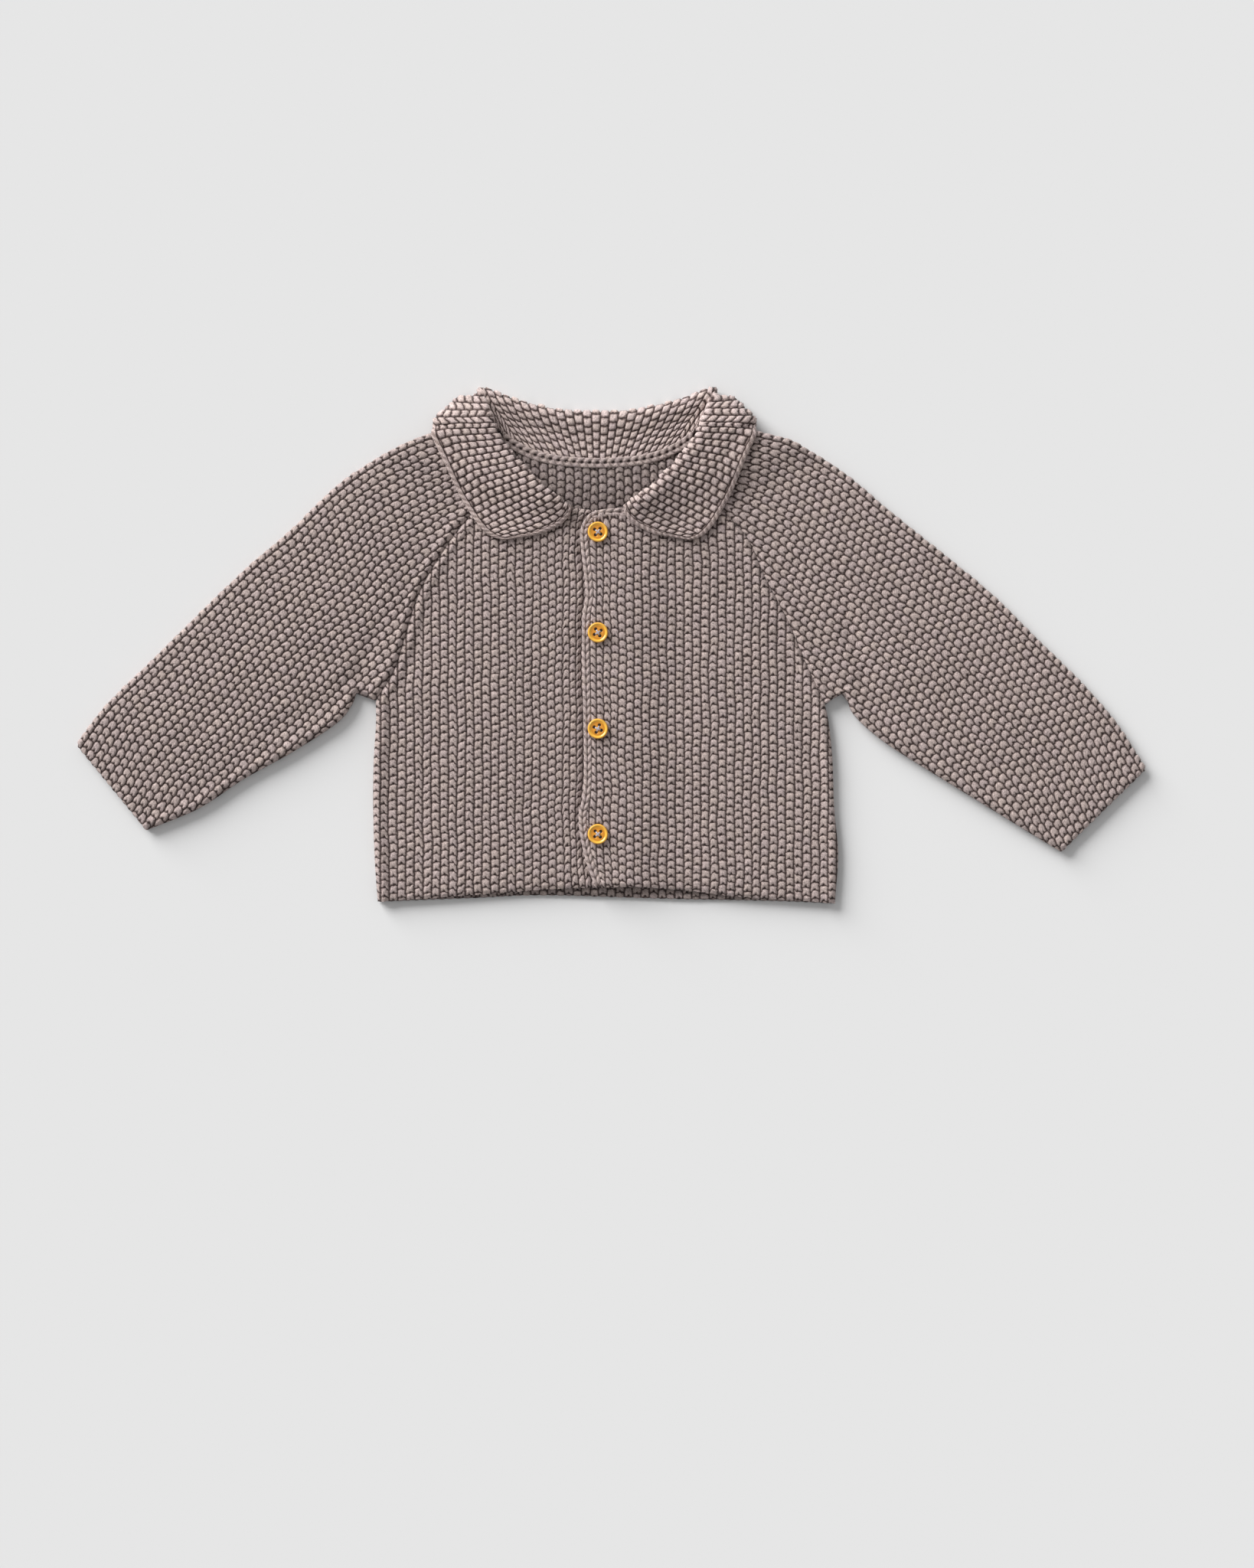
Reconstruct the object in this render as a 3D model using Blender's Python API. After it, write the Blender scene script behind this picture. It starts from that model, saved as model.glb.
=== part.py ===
"""Baby cardigan, knitted in a chunky moss stitch and laid flat, face up, with its sleeves spread.

The pieces are those that a maker knits and links together: a back, two fronts, two raglan sleeves,
a turned-down collar, the chain binding of the back neck, the chain edging of the button front and
four buttons.  Each is a closed wall of cloth.  Lengths below are in millimetres, with +X to the
wearer's left, +Y towards the neck and the table at z = 0; MM turns them into metres.
"""

import math

import bmesh
import bpy
import numpy as np

MM = 0.001

# Cloth and the way its layers lie on each other
CLOTH = 2.4  # wall of the knitted cloth
REST = 0.4  # air between two layers that lie on each other
LAYER = CLOTH + REST
SEAM = 0.5  # between two pieces that are linked edge to edge
ROUND = 1.3  # how far in from an edge the wall reaches its full thickness
EDGE_DROP = 0.6  # how much each face of the wall turns in at its edge

# Whole garment
COLLAR_MIDDLE = -7.7  # x of the centre back of the neck
FALL_EDGE = 93.0  # y of the lowest point of the collar's edge under the back
FALL_BEND = 0.0023  # how fast that edge rises to both sides
LIFT_START, LIFT_RUN = 27.0, 23.0  # the back rises over the collar's edge from here, in this run
BODY_PUFF, SLEEVE_PUFF = 0.7, 1.6  # air under the fronts and in the sleeves

# Side seams and raglan seams, from hem to underarm to neck: (x, y)
SIDE_RIGHT = [(-130.9, -143.4), (-132.6, -120.0), (-133.5, -90.0), (-133.2, -65.0), (-131.9, -44.0),
              (-132.0, -31.0)]
SIDE_LEFT = [(125.3, -144.3), (127.1, -117.0), (124.9, -91.0), (124.0, -65.0), (122.2, -46.0), (119.8, -33.0)]
RAGLAN_FRONT_RIGHT = [(-132.0, -31.0), (-121.7, -13.5), (-115.6, 5.4), (-107.3, 30.7), (-92.8, 55.3),
                      (-78.9, 73.3), (-60.0, 95.0)]
RAGLAN_FRONT_LEFT = [(119.8, -33.0), (109.0, -9.9), (98.4, 15.0), (86.2, 38.0), (77.0, 59.0), (65.1, 72.9),
                     (45.0, 95.5)]
RAGLAN_BACK_RIGHT = [(-132.0, -31.0), (-104.5, 20.0), (-69.0, 80.0), (-50.0, 110.4)]
RAGLAN_BACK_LEFT = [(119.8, -33.0), (92.0, 20.0), (54.5, 80.0), (35.0, 110.0)]

# Hems and necklines: (x, y)
HEM_BACK = [(-130.9, -143.4), (-77.0, -141.3), (-38.0, -139.8), (30.0, -141.7), (91.0, -143.0),
            (125.3, -144.3)]
NECK_BACK = [(-50.0, 110.4), (-38.0, 105.9), (-7.7, 103.0), (22.0, 105.0), (35.0, 110.0)]
HEM_FRONT_RIGHT = [(-130.9, -143.4), (-90.0, -140.6), (-42.4, -137.0), (-16.6, -135.7), (2.0, -135.6)]
HEM_FRONT_LEFT = [(-3.9, -135.2), (17.8, -135.2), (43.6, -137.4), (69.4, -140.4), (100.0, -142.6),
                  (125.3, -144.3)]
NECK_FRONT_RIGHT = [(-60.0, 95.0), (-44.0, 85.5), (-28.6, 79.0), (-14.0, 76.2), (2.0, 75.6)]
NECK_FRONT_LEFT = [(-4.5, 75.4), (5.5, 75.8), (20.5, 81.3), (36.0, 89.6), (45.0, 95.5)]

# Share of a panel's or a sleeve's length, from its lower edge, that lies below the underarm
BACK_SIDE_SHARE, FRONT_SIDE_SHARE, UNDERARM_SHARE = 0.43, 0.47, 0.46

# The button front: its edge, from hem to neck, and the buttons on it
LAP_EDGE = [(-9.2, -135.2), (-15.3, -116.7), (-18.2, -96.0), (-15.3, -73.3), (-16.4, 7.5), (-14.4, 30.0),
            (-17.4, 62.1), (-13.7, 71.8), (-9.8, 75.4)]
EDGING_WIDTH, EDGING_HEIGHT = 4.3, 2.6
UNDER_EDGE = 2.0  # x of the edge of the front that lies below
LAP_START, LAP_RUN = 6.5, 9.0  # the upper front comes down beside that edge
BUTTON_X = -7.5
BUTTON_Y = (63.4, 7.1, -46.7, -105.6)
BUTTON_RADIUS, BUTTON_HEIGHT, BUTTON_RIM, BUTTON_DISH = 5.7, 2.3, 1.1, 0.55
BUTTON_HOLE_RADIUS, BUTTON_HOLE_SPACING = 0.85, 3.1
BUTTON_HOLES = 4

# Sleeves: folded edge and underarm seam, from the cuff, then their share of the neckline: (x, y)
FOLD_RIGHT = [(-299.6, -55.5), (-283.2, -33.8), (-257.4, -8.4), (-205.8, 41.9), (-180.0, 63.9), (-154.2, 88.8),
              (-128.4, 106.4), (-102.6, 118.0), (-88.0, 120.8), (-75.5, 120.3)]
FOLD_LEFT = [(299.6, -69.0), (275.8, -34.6), (232.8, 9.2), (207.0, 33.8), (155.4, 75.5), (129.6, 97.0),
             (103.8, 112.9), (90.9, 117.2), (75.0, 120.6), (60.0, 120.3)]
UNDERARM_RIGHT = [(-260.4, -103.4), (-231.6, -91.4), (-205.8, -74.6), (-180.0, -60.4), (-154.2, -43.6),
                  (-145.6, -33.3), (-141.7, -25.2), (-132.6, -30.6)]
UNDERARM_LEFT = [(252.0, -115.5), (232.8, -103.8), (207.0, -87.9), (164.0, -61.3), (146.8, -49.2),
                 (135.5, -38.0), (130.1, -27.3), (120.4, -32.6)]
SLEEVE_NECK_FRONT = [(0.0, 0.0), (5.5, -4.5), (8.0, -14.0)]  # from the end of the fold, towards the front

# Collar, half of it, from its front end to the centre back: a row for each section
COLLAR = np.array([
    # neck x, y       roll x, y        turn x, y        edge x, y      reach on the wearer's left
    (-21.0, 77.4, -22.3, 77.6, -40.2, 64.7, -60.0, 58.9, 0.98),
    (-28.6, 79.9, -27.5, 80.3, -49.0, 68.2, -66.5, 60.7, 0.98),
    (-36.0, 82.6, -32.3, 83.5, -55.0, 72.5, -71.6, 64.4, 0.975),
    (-44.0, 86.2, -37.6, 87.5, -60.5, 77.8, -76.2, 69.8, 0.97),
    (-51.5, 90.8, -42.8, 92.7, -65.5, 84.3, -80.4, 76.3, 0.966),
    (-58.5, 96.3, -47.9, 98.0, -71.0, 91.5, -84.8, 83.8, 0.963),
    (-64.5, 102.6, -53.3, 104.0, -76.5, 99.0, -89.0, 92.5, 0.96),
    (-69.0, 109.0, -58.5, 109.9, -81.5, 106.3, -93.0, 101.3, 0.957),
    (-71.5, 114.8, -62.2, 115.3, -85.5, 113.5, -97.0, 109.6, 0.955),
    (-71.5, 119.5, -65.1, 120.4, -89.5, 120.0, -100.5, 117.8, 0.957),
    (-67.6, 122.4, -67.2, 126.0, -98.0, 125.8, -98.0, 122.4, 0.965),
    (-62.5, 119.5, -70.0, 131.5, -92.5, 131.5, -90.5, 123.0, 0.975),
    (-57.5, 115.9, -72.2, 138.0, -84.0, 138.6, -83.5, 117.0, 0.98),
    (-52.0, 112.3, -72.4, 143.8, -74.2, 131.0, -75.5, 109.0, 0.99),
    (-42.0, 107.8, -58.7, 138.8, -60.0, 124.0, -61.5, 102.5, 1.0),
    (-31.0, 105.2, -44.0, 134.4, -44.7, 119.8, -45.5, 98.3, 1.0),
    (-19.5, 104.0, -27.0, 131.2, -27.3, 116.8, -27.5, 95.5, 1.0),
    (-7.7, 103.5, -7.7, 130.2, -7.7, 115.8, -7.7, 94.2, 1.0),
])
# Height of the middle of its wall above the cloth below it, at the rows that lead
COLLAR_LEVELS = np.array([
    # row, neck, stand, roll, fall, before turn, turn, edge
    (0.0, 7.1, 7.1, 7.15, 7.2, 7.1, 7.1, 7.1),
    (2.0, 7.1, 7.1, 8.5, 9.9, 7.8, 7.3, 7.1),
    (9.0, 7.1, 7.1, 8.7, 10.1, 8.8, 7.8, 7.2),
    (10.0, 4.8, 7.0, 9.4, 9.9, 7.2, 4.0, 1.4),
    (11.0, 2.6, 5.2, 8.8, 8.8, 5.6, 1.8, -1.4),
    (12.0, 1.5, 3.2, 5.6, 5.2, 2.4, 0.4, -1.6),
    (13.0, 1.2, 1.8, 1.2, -0.6, -1.6, -1.6, -1.6),
    (14.0, 1.2, 1.2, -0.2, -1.6, -1.6, -1.6, -1.6),
    (17.0, 1.2, 1.2, -0.2, -1.6, -1.6, -1.6, -1.6),
])
COLLAR_LAST = len(COLLAR) - 1  # the row of the centre back
END_BOW, END_BOW_ROWS = 4.6, 2.5  # how far the front end of the fall swells, and over how many rows
END_BOW_WAY = (0.584, -0.81)  # towards the middle of the front and down
ROLL_RADIUS = 1.4  # of the middle of the wall where the collar rolls over
TURN_RUN = 4.0
COLLAR_ROWS_ON_LAP = 6
BINDING_ROWS = (11.3, 17.0)  # the stretch of the neck seam that the binding covers
BINDING_WIDTH, BINDING_HEIGHT, BINDING_RISE = 5.6, 1.6, 1.7

# Colours (linear RGB)
YARN = (0.40, 0.32, 0.30)
EDGE_YARN = (0.43, 0.345, 0.325)
AMBER = (0.84, 0.37, 0.03)


def smooth_step(t):
    t = np.clip(t, 0.0, 1.0)
    return t * t * (3.0 - 2.0 * t)


def through(rows, at, keys=None):
    """Values on a smooth curve through the rows, at the given places among the keys."""
    rows = np.asarray(rows, float)
    keys = np.arange(len(rows)) if keys is None else np.asarray(keys, float)
    slope = np.gradient(rows, keys, axis=0)
    at = np.clip(np.atleast_1d(at), keys[0], keys[-1])
    i = np.clip(np.searchsorted(keys, at, side="right") - 1, 0, len(keys) - 2)
    span = (keys[i + 1] - keys[i])[:, None]
    t = (at - keys[i])[:, None] / span
    start = (1 + 2 * t) * (1 - t) ** 2 * rows[i] + t * (1 - t) ** 2 * span * slope[i]
    end = t * t * (3 - 2 * t) * rows[i + 1] + t * t * (t - 1) * span * slope[i + 1]
    return start + end


def edge(points):
    """An edge of a piece as a function of 0..1 along its length."""
    points = np.asarray(points, float)
    steps = np.hypot(*np.diff(points, axis=0).T)
    keys = np.concatenate([[0.0], np.cumsum(steps)])
    return lambda t: through(points, np.atleast_1d(t) * keys[-1], keys)


def joined(first, second, share):
    """Two edges end to end; the first takes this share of 0..1."""
    def along(t):
        t = np.atleast_1d(np.asarray(t, float))[:, None]
        return np.where(t < share, first(t[:, 0] / share), second((t[:, 0] - share) / (1 - share)))
    return along


def moved(path, dx, dy=0.0):
    return lambda t: path(t) + np.array((dx, dy))


def patch(left, right, low, high):
    """Points of a panel between four edges; u runs from left to right and v from low to high."""
    def at(u, v):
        u, v = np.broadcast_arrays(np.asarray(u, float), np.asarray(v, float))
        shape = u.shape
        u, v = u.ravel()[:, None], v.ravel()[:, None]
        a, b, c, d = left(v[:, 0]), right(v[:, 0]), low(u[:, 0]), high(u[:, 0])
        corners = (1 - u) * (1 - v) * left(0.0) + u * (1 - v) * right(0.0)
        corners = corners + (1 - u) * v * left(1.0) + u * v * right(1.0)
        return ((1 - u) * a + u * b + (1 - v) * c + v * d - corners).reshape(*shape, 2)
    return at


def lift(x, y):
    """How far the collar that lies under the back raises the cloth above it."""
    fall_edge = FALL_EDGE + FALL_BEND * (x - COLLAR_MIDDLE) ** 2
    return LAYER * smooth_step((y - fall_edge + LIFT_START) / LIFT_RUN)


def material(name, colour, roughness):
    made = bpy.data.materials.new(name)
    made.use_nodes = True
    shader = made.node_tree.nodes["Principled BSDF"]
    shader.inputs["Base Color"].default_value = (*colour, 1.0)
    shader.inputs["Roughness"].default_value = roughness
    shader.inputs["Metallic"].default_value = 0.0
    return made


def wall(name, upper, lower, finish):
    """A closed wall of cloth between two grids of points, with a rim round their four sides."""
    rows, columns = upper.shape[:2]
    shape = bmesh.new()
    top = [[shape.verts.new(p * MM) for p in row] for row in upper]
    under = [[shape.verts.new(p * MM) for p in row] for row in lower]
    for i in range(rows - 1):
        for j in range(columns - 1):
            shape.faces.new((top[i][j], top[i][j + 1], top[i + 1][j + 1], top[i + 1][j]))
            shape.faces.new((under[i][j], under[i + 1][j], under[i + 1][j + 1], under[i][j + 1]))
    rim = [(0, j) for j in range(columns)] + [(i, columns - 1) for i in range(1, rows)]
    rim += [(rows - 1, j) for j in range(columns - 2, -1, -1)] + [(i, 0) for i in range(rows - 2, 0, -1)]
    for (i, j), (k, n) in zip(rim, rim[1:] + rim[:1]):
        shape.faces.new((top[i][j], under[i][j], under[k][n], top[k][n]))
    bmesh.ops.recalc_face_normals(shape, faces=shape.faces)
    bmesh.ops.triangulate(shape, faces=shape.faces)
    mesh = bpy.data.meshes.new(name)
    shape.to_mesh(mesh)
    shape.free()
    mesh.shade_smooth()
    mesh.set_sharp_from_angle(angle=math.radians(40))
    return place(name, mesh, finish)


def place(name, mesh, finish):
    made = bpy.data.objects.new(name, mesh)
    made.data.materials.append(finish)
    garment.objects.link(made)
    return made


def steps_between_edges(count, length):
    """0..1 in even steps, with one more near each end where the wall rounds off."""
    near = ROUND / length
    return np.concatenate([[0.0], np.linspace(near, 1 - near, count), [1.0]])


def turned_in(count_v, count_u):
    """1 on the outline of a grid and 0 inside it."""
    drop = np.zeros((count_v, count_u))
    drop[[0, -1], :] = 1.0
    drop[:, [0, -1]] = 1.0
    return drop * EDGE_DROP


def panel(name, outline, height, count, size, finish):
    """A flat panel whose lower face lies at height(x, y, u, v)."""
    u = steps_between_edges(count[0], size[0])
    v = steps_between_edges(count[1], size[1])
    uu, vv = np.meshgrid(u, v)
    plan = outline(uu, vv)
    low = height(plan[..., 0], plan[..., 1], uu, vv)
    drop = turned_in(len(v), len(u))
    upper = np.dstack([plan, low + CLOTH - drop])
    lower = np.dstack([plan, low + drop])
    return wall(name, upper, lower, finish)


def front_height(x, y, u, v):
    """The fronts lie on the back, and swell a little over it."""
    swell = np.sin(np.pi * np.clip((u - 0.08) / 0.84, 0, 1)) * np.sin(np.pi * np.clip(v, 0, 1))
    return lift(x, y) + LAYER + BODY_PUFF * swell


def lap(x):
    """How far the edge of the right front raises the left one, which lies over it."""
    return LAYER * smooth_step((LAP_START + LAP_RUN - x) / LAP_RUN)


def lapped_height(x, y, u, v):
    return front_height(x, y, u, v) + lap(x)


def back():
    left = joined(edge(SIDE_RIGHT), edge(RAGLAN_BACK_RIGHT), BACK_SIDE_SHARE)
    right = joined(edge(SIDE_LEFT), edge(RAGLAN_BACK_LEFT), BACK_SIDE_SHARE)
    outline = patch(left, right, edge(HEM_BACK), edge(NECK_BACK))
    panel("back", outline, lambda x, y, u, v: lift(x, y), (11, 22), (220.0, 250.0), cloth)


def fronts():
    left = joined(edge(SIDE_RIGHT), edge(RAGLAN_FRONT_RIGHT), FRONT_SIDE_SHARE)
    right = edge([(UNDER_EDGE, -135.6), (UNDER_EDGE, 75.6)])
    outline = patch(left, right, edge(HEM_FRONT_RIGHT), edge(NECK_FRONT_RIGHT))
    panel("front_right", outline, front_height, (8, 21), (100.0, 220.0), cloth)

    left = moved(edge(LAP_EDGE), EDGING_WIDTH + 2 * SEAM)
    right = joined(edge(SIDE_LEFT), edge(RAGLAN_FRONT_LEFT), FRONT_SIDE_SHARE)
    outline = patch(left, right, edge(HEM_FRONT_LEFT), edge(NECK_FRONT_LEFT))
    panel("front_left", outline, lapped_height, (10, 21), (100.0, 220.0), cloth)


def front_edging():
    """The chain worked along the edge of the upper front, a little thicker than the cloth."""
    path = edge(LAP_EDGE)
    rows = np.linspace(0, 1, 22)
    across = np.array((0.0, 0.18, 0.5, 0.82, 1.0))
    crown = np.array((0.9, 0.25, 0.0, 0.25, 0.9))
    line = path(rows)[:, None, :]
    plan = line + np.dstack([across * EDGING_WIDTH, across * 0.0])
    low = 2 * LAYER + lift(plan[..., 0], plan[..., 1])
    upper = np.dstack([plan, low + EDGING_HEIGHT - crown])
    lower = np.dstack([plan, low + 0.5 * crown])
    wall("front_edging", upper, lower, edge_cloth)


def sleeve(name, side, fold, underarm, raglan_front, raglan_back):
    """One wall round a flattened tube: from the back's seam, round the folded edge, to the front's.
    side is -1 for the sleeve at -X and 1 for the one at +X."""
    fold_edge = edge(fold)
    end = np.array(fold[-1])
    seam_front = moved(edge(raglan_front), side * SEAM)
    seam_back = moved(edge(raglan_back), side * SEAM)
    bend = [(end[0] - side * dx, end[1] + dy) for dx, dy in SLEEVE_NECK_FRONT]
    front_neck = edge([*bend, seam_front(1.0)[0]])
    back_neck = edge([end, seam_back(1.0)[0]])

    def layer(seam, neck):
        inner = joined(edge(underarm), seam, UNDERARM_SHARE)

        def at(u, v):
            ruled = (1 - u)[..., None] * fold_edge(v.ravel()).reshape(*v.shape, 2)
            ruled = ruled + u[..., None] * inner(v.ravel()).reshape(*v.shape, 2)
            straight = (1 - u)[..., None] * end + u[..., None] * inner(1.0)[0]
            bulge = neck(u.ravel()).reshape(*u.shape, 2) - straight
            return ruled + (v ** 6)[..., None] * bulge
        return at, inner

    front_at, front_inner = layer(seam_front, front_neck)
    back_at, back_inner = layer(seam_back, back_neck)

    v = np.concatenate([[0.0, 0.006], np.linspace(0.055, 0.945, 19), [0.994, 1.0]])
    thick = LAYER + CLOTH
    radius = thick / 2
    turn = np.radians((-90.0, -45.0, 0.0, 45.0, 90.0))
    spread = np.linspace(1.0, 0.25, 4)
    rings = {}
    for face, inset in (("outer", 0.0), ("inner", CLOTH)):
        curve = radius - inset
        rows = []
        for vi in v:
            width_back = np.hypot(*(back_inner(vi)[0] - fold_edge(vi)[0]))
            width_front = np.hypot(*(front_inner(vi)[0] - fold_edge(vi)[0]))
            lip = ROUND / width_back
            u_back = np.concatenate([[1.0, 1.0 - lip], spread[1:]])
            u_turn = radius - curve * np.cos(turn)
            u = np.concatenate([u_back, u_turn[:2] / width_back, u_turn[2:] / width_front, u_back[::-1]])
            is_front = np.arange(len(u)) >= len(u_back) + 2
            vs = np.full(len(u), vi)
            plan = np.where(is_front[:, None], front_at(u, vs), back_at(u, vs))
            drop = np.zeros(len(u))
            drop[[0, -1]] = EDGE_DROP
            if vi in (0.0, 1.0):
                drop[:] = EDGE_DROP
            z = np.full(len(u), inset)
            z[len(u_back):len(u_back) + 5] = radius + curve * np.sin(turn)
            z[len(u_back) + 5:] = thick - inset
            sign = np.where(z < radius, 1.0, -1.0) * (1.0 if face == "outer" else -1.0)
            z = z + sign * drop * (np.abs(z - radius) > 0.1)
            puff = SLEEVE_PUFF * math.sin(math.pi * min(1.0, vi / 0.9)) ** 0.7
            z = z + np.where(is_front, puff * np.sin(np.pi * np.clip(u, 0, 1)) ** 0.8, 0.0)
            rows.append(np.column_stack([plan, z + lift(plan[:, 0], plan[:, 1])]))
        rings[face] = np.array(rows)
    wall(name, rings["outer"], rings["inner"], cloth)


def collar_sections(rows):
    """The middle of the collar's wall: a section for each row, from the neck seam to its edge."""
    side = np.where(rows > COLLAR_LAST, 1.0, -1.0)
    row = np.where(rows > COLLAR_LAST, 2 * COLLAR_LAST - rows, rows)
    table = through(COLLAR, row)
    share = np.where(side > 0, table[:, 8], 1.0)
    points = []
    for column in range(0, 8, 2):
        reach = share if column >= 4 else 1.0
        x = COLLAR_MIDDLE + side * np.abs(table[:, column] - COLLAR_MIDDLE) * reach
        points.append(np.column_stack([x, table[:, column + 1]]))
    neck, roll, turn, hem = points
    levels = np.column_stack([np.interp(row, COLLAR_LEVELS[:, 0], level) for level in COLLAR_LEVELS[:, 1:].T])

    def towards(a, b, distance):
        way = b - a
        length = np.maximum(np.hypot(way[:, 0], way[:, 1]), 1e-6)[:, None]
        return a + way * np.minimum(distance / length, 0.5)

    stand = towards(roll, neck, ROLL_RADIUS)
    fall = towards(roll, turn, ROLL_RADIUS)
    before = towards(turn, roll, TURN_RUN)
    plan = [neck, 0.5 * (neck + stand), stand, roll, fall]
    plan += [0.5 * (fall + before), before, turn, 0.5 * (turn + hem), hem]
    bow = END_BOW * np.clip(1 - row / END_BOW_ROWS, 0, 1)[:, None] ** 2
    bow = bow * np.column_stack([-side * END_BOW_WAY[0], 0 * side + END_BOW_WAY[1]])
    for place, share_of_bow in ((4, 0.35), (5, 1.0), (6, 0.75), (7, 0.55), (8, 0.3)):
        plan[place] = plan[place] + bow * share_of_bow
    z = [levels[:, 0], 0.5 * (levels[:, 0] + levels[:, 1]), levels[:, 1], levels[:, 2], levels[:, 3]]
    z += [0.5 * (levels[:, 3] + levels[:, 4]), levels[:, 4], levels[:, 5], 0.5 * (levels[:, 5] + levels[:, 6])]
    z.append(levels[:, 6])
    on_lap = (side > 0) & (row < COLLAR_ROWS_ON_LAP)
    raised = [lift(p[:, 0], p[:, 1]) + on_lap * lap(p[:, 0]) for p in plan]
    middle = [np.column_stack([p, h + more]) for p, h, more in zip(plan, z, raised)]
    return np.stack(middle, axis=1)


def outward(grid):
    """Unit normals of a grid of points, on the side that shows."""
    along = np.gradient(grid, axis=0)
    across = np.gradient(grid, axis=1)
    normal = np.cross(along, across)
    return normal / np.maximum(np.linalg.norm(normal, axis=2, keepdims=True), 1e-9)


def collar():
    rows = np.linspace(0.0, 2.0 * COLLAR_LAST, 49)
    middle = collar_sections(rows)
    normal = outward(middle)
    half = np.full(middle.shape[:2], CLOTH / 2)
    half[[0, -1], :] -= EDGE_DROP
    half[:, [0, -1]] -= EDGE_DROP
    wall("collar", middle + normal * half[..., None], middle - normal * half[..., None], cloth)


def neck_binding():
    """The chain that covers the back neck seam, half on the collar and half on the back."""
    rows = np.linspace(BINDING_ROWS[0], 2 * COLLAR_LAST - BINDING_ROWS[0], 25)
    seam = collar_sections(rows)[:, 0, :]
    along = np.gradient(seam[:, :2], axis=0)
    along /= np.hypot(along[:, 0], along[:, 1])[:, None]
    inward = np.column_stack([along[:, 1], -along[:, 0]])
    across = np.array((-0.26, -0.1, 0.24, 0.6, 0.74)) * BINDING_WIDTH
    crown = np.array((0.45, 0.1, 0.0, 0.1, 0.45))
    plan = seam[:, None, :2] + inward[:, None, :] * across[None, :, None]
    low = (seam[:, 2] + BINDING_RISE)[:, None] + np.zeros(plan.shape[:2])
    upper = np.dstack([plan, low + BINDING_HEIGHT - crown])
    lower = np.dstack([plan, low + 0.6 * crown])
    wall("neck_binding", upper, lower, edge_cloth)


def button(name, y):
    """A turned disc with a raised rim, a dished middle and four sewing holes."""
    base = 3 * LAYER
    profile = [
        (0.0, 0.35), (BUTTON_RADIUS - 1.4, 0.0), (BUTTON_RADIUS - 0.4, 0.5), (BUTTON_RADIUS, 1.2),
        (BUTTON_RADIUS - 0.25, 1.95), (BUTTON_RADIUS - 0.6, BUTTON_HEIGHT),
        (BUTTON_RADIUS - BUTTON_RIM, BUTTON_HEIGHT - 0.15),
        (BUTTON_RADIUS - BUTTON_RIM - 0.5, BUTTON_HEIGHT - BUTTON_DISH),
        (0.0, BUTTON_HEIGHT - BUTTON_DISH - 0.1),
    ]
    turned = bmesh.new()
    verts = [turned.verts.new((r * MM, 0.0, z * MM)) for r, z in profile]
    edges = [turned.edges.new(pair) for pair in zip(verts, verts[1:])]
    bmesh.ops.spin(turned, geom=verts + edges, cent=(0, 0, 0), axis=(0, 0, 1), angle=2 * math.pi, steps=24,
                   use_merge=True)
    bmesh.ops.remove_doubles(turned, verts=turned.verts, dist=1e-6)
    bmesh.ops.recalc_face_normals(turned, faces=turned.faces)
    mesh = bpy.data.meshes.new(name)
    turned.to_mesh(mesh)
    turned.free()
    mesh.shade_smooth()
    mesh.set_sharp_from_angle(angle=math.radians(35))
    made = place(name, mesh, amber)
    made.location = (BUTTON_X * MM, y * MM, base * MM)
    for k in range(BUTTON_HOLES):
        angle = 2 * math.pi * (k + 0.5) / BUTTON_HOLES
        reach = BUTTON_HOLE_SPACING / math.sqrt(2)
        bpy.ops.mesh.primitive_cylinder_add(
            vertices=10, radius=BUTTON_HOLE_RADIUS * MM, depth=4 * BUTTON_HEIGHT * MM,
            location=((BUTTON_X + reach * math.cos(angle)) * MM, (y + reach * math.sin(angle)) * MM, base * MM))
        hole = bpy.context.object
        hole.name = f"hole_{name}_{k + 1}"
        hole.hide_render = True
        hole.display_type = "WIRE"
        for owner in list(hole.users_collection):
            owner.objects.unlink(hole)
        cutters.objects.link(hole)
        cut = made.modifiers.new(f"hole {k + 1}", "BOOLEAN")
        cut.operation = "DIFFERENCE"
        cut.solver = "EXACT"
        cut.object = hole


for leftover in list(bpy.data.objects):
    bpy.data.objects.remove(leftover, do_unlink=True)

garment = bpy.data.collections.new("baby_cardigan")
cutters = bpy.data.collections.new("cutters")
bpy.context.scene.collection.children.link(garment)
bpy.context.scene.collection.children.link(cutters)

cloth = material("knit", YARN, 0.9)
edge_cloth = material("chain_edge", EDGE_YARN, 0.9)
amber = material("amber_resin", AMBER, 0.35)

back()
fronts()
front_edging()
sleeve("sleeve_right", -1, FOLD_RIGHT, UNDERARM_RIGHT, RAGLAN_FRONT_RIGHT, RAGLAN_BACK_RIGHT)
sleeve("sleeve_left", 1, FOLD_LEFT, UNDERARM_LEFT, RAGLAN_FRONT_LEFT, RAGLAN_BACK_LEFT)
collar()
neck_binding()
for number, height in enumerate(BUTTON_Y, 1):
    button(f"button_{number}", height)
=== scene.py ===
import math

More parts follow.
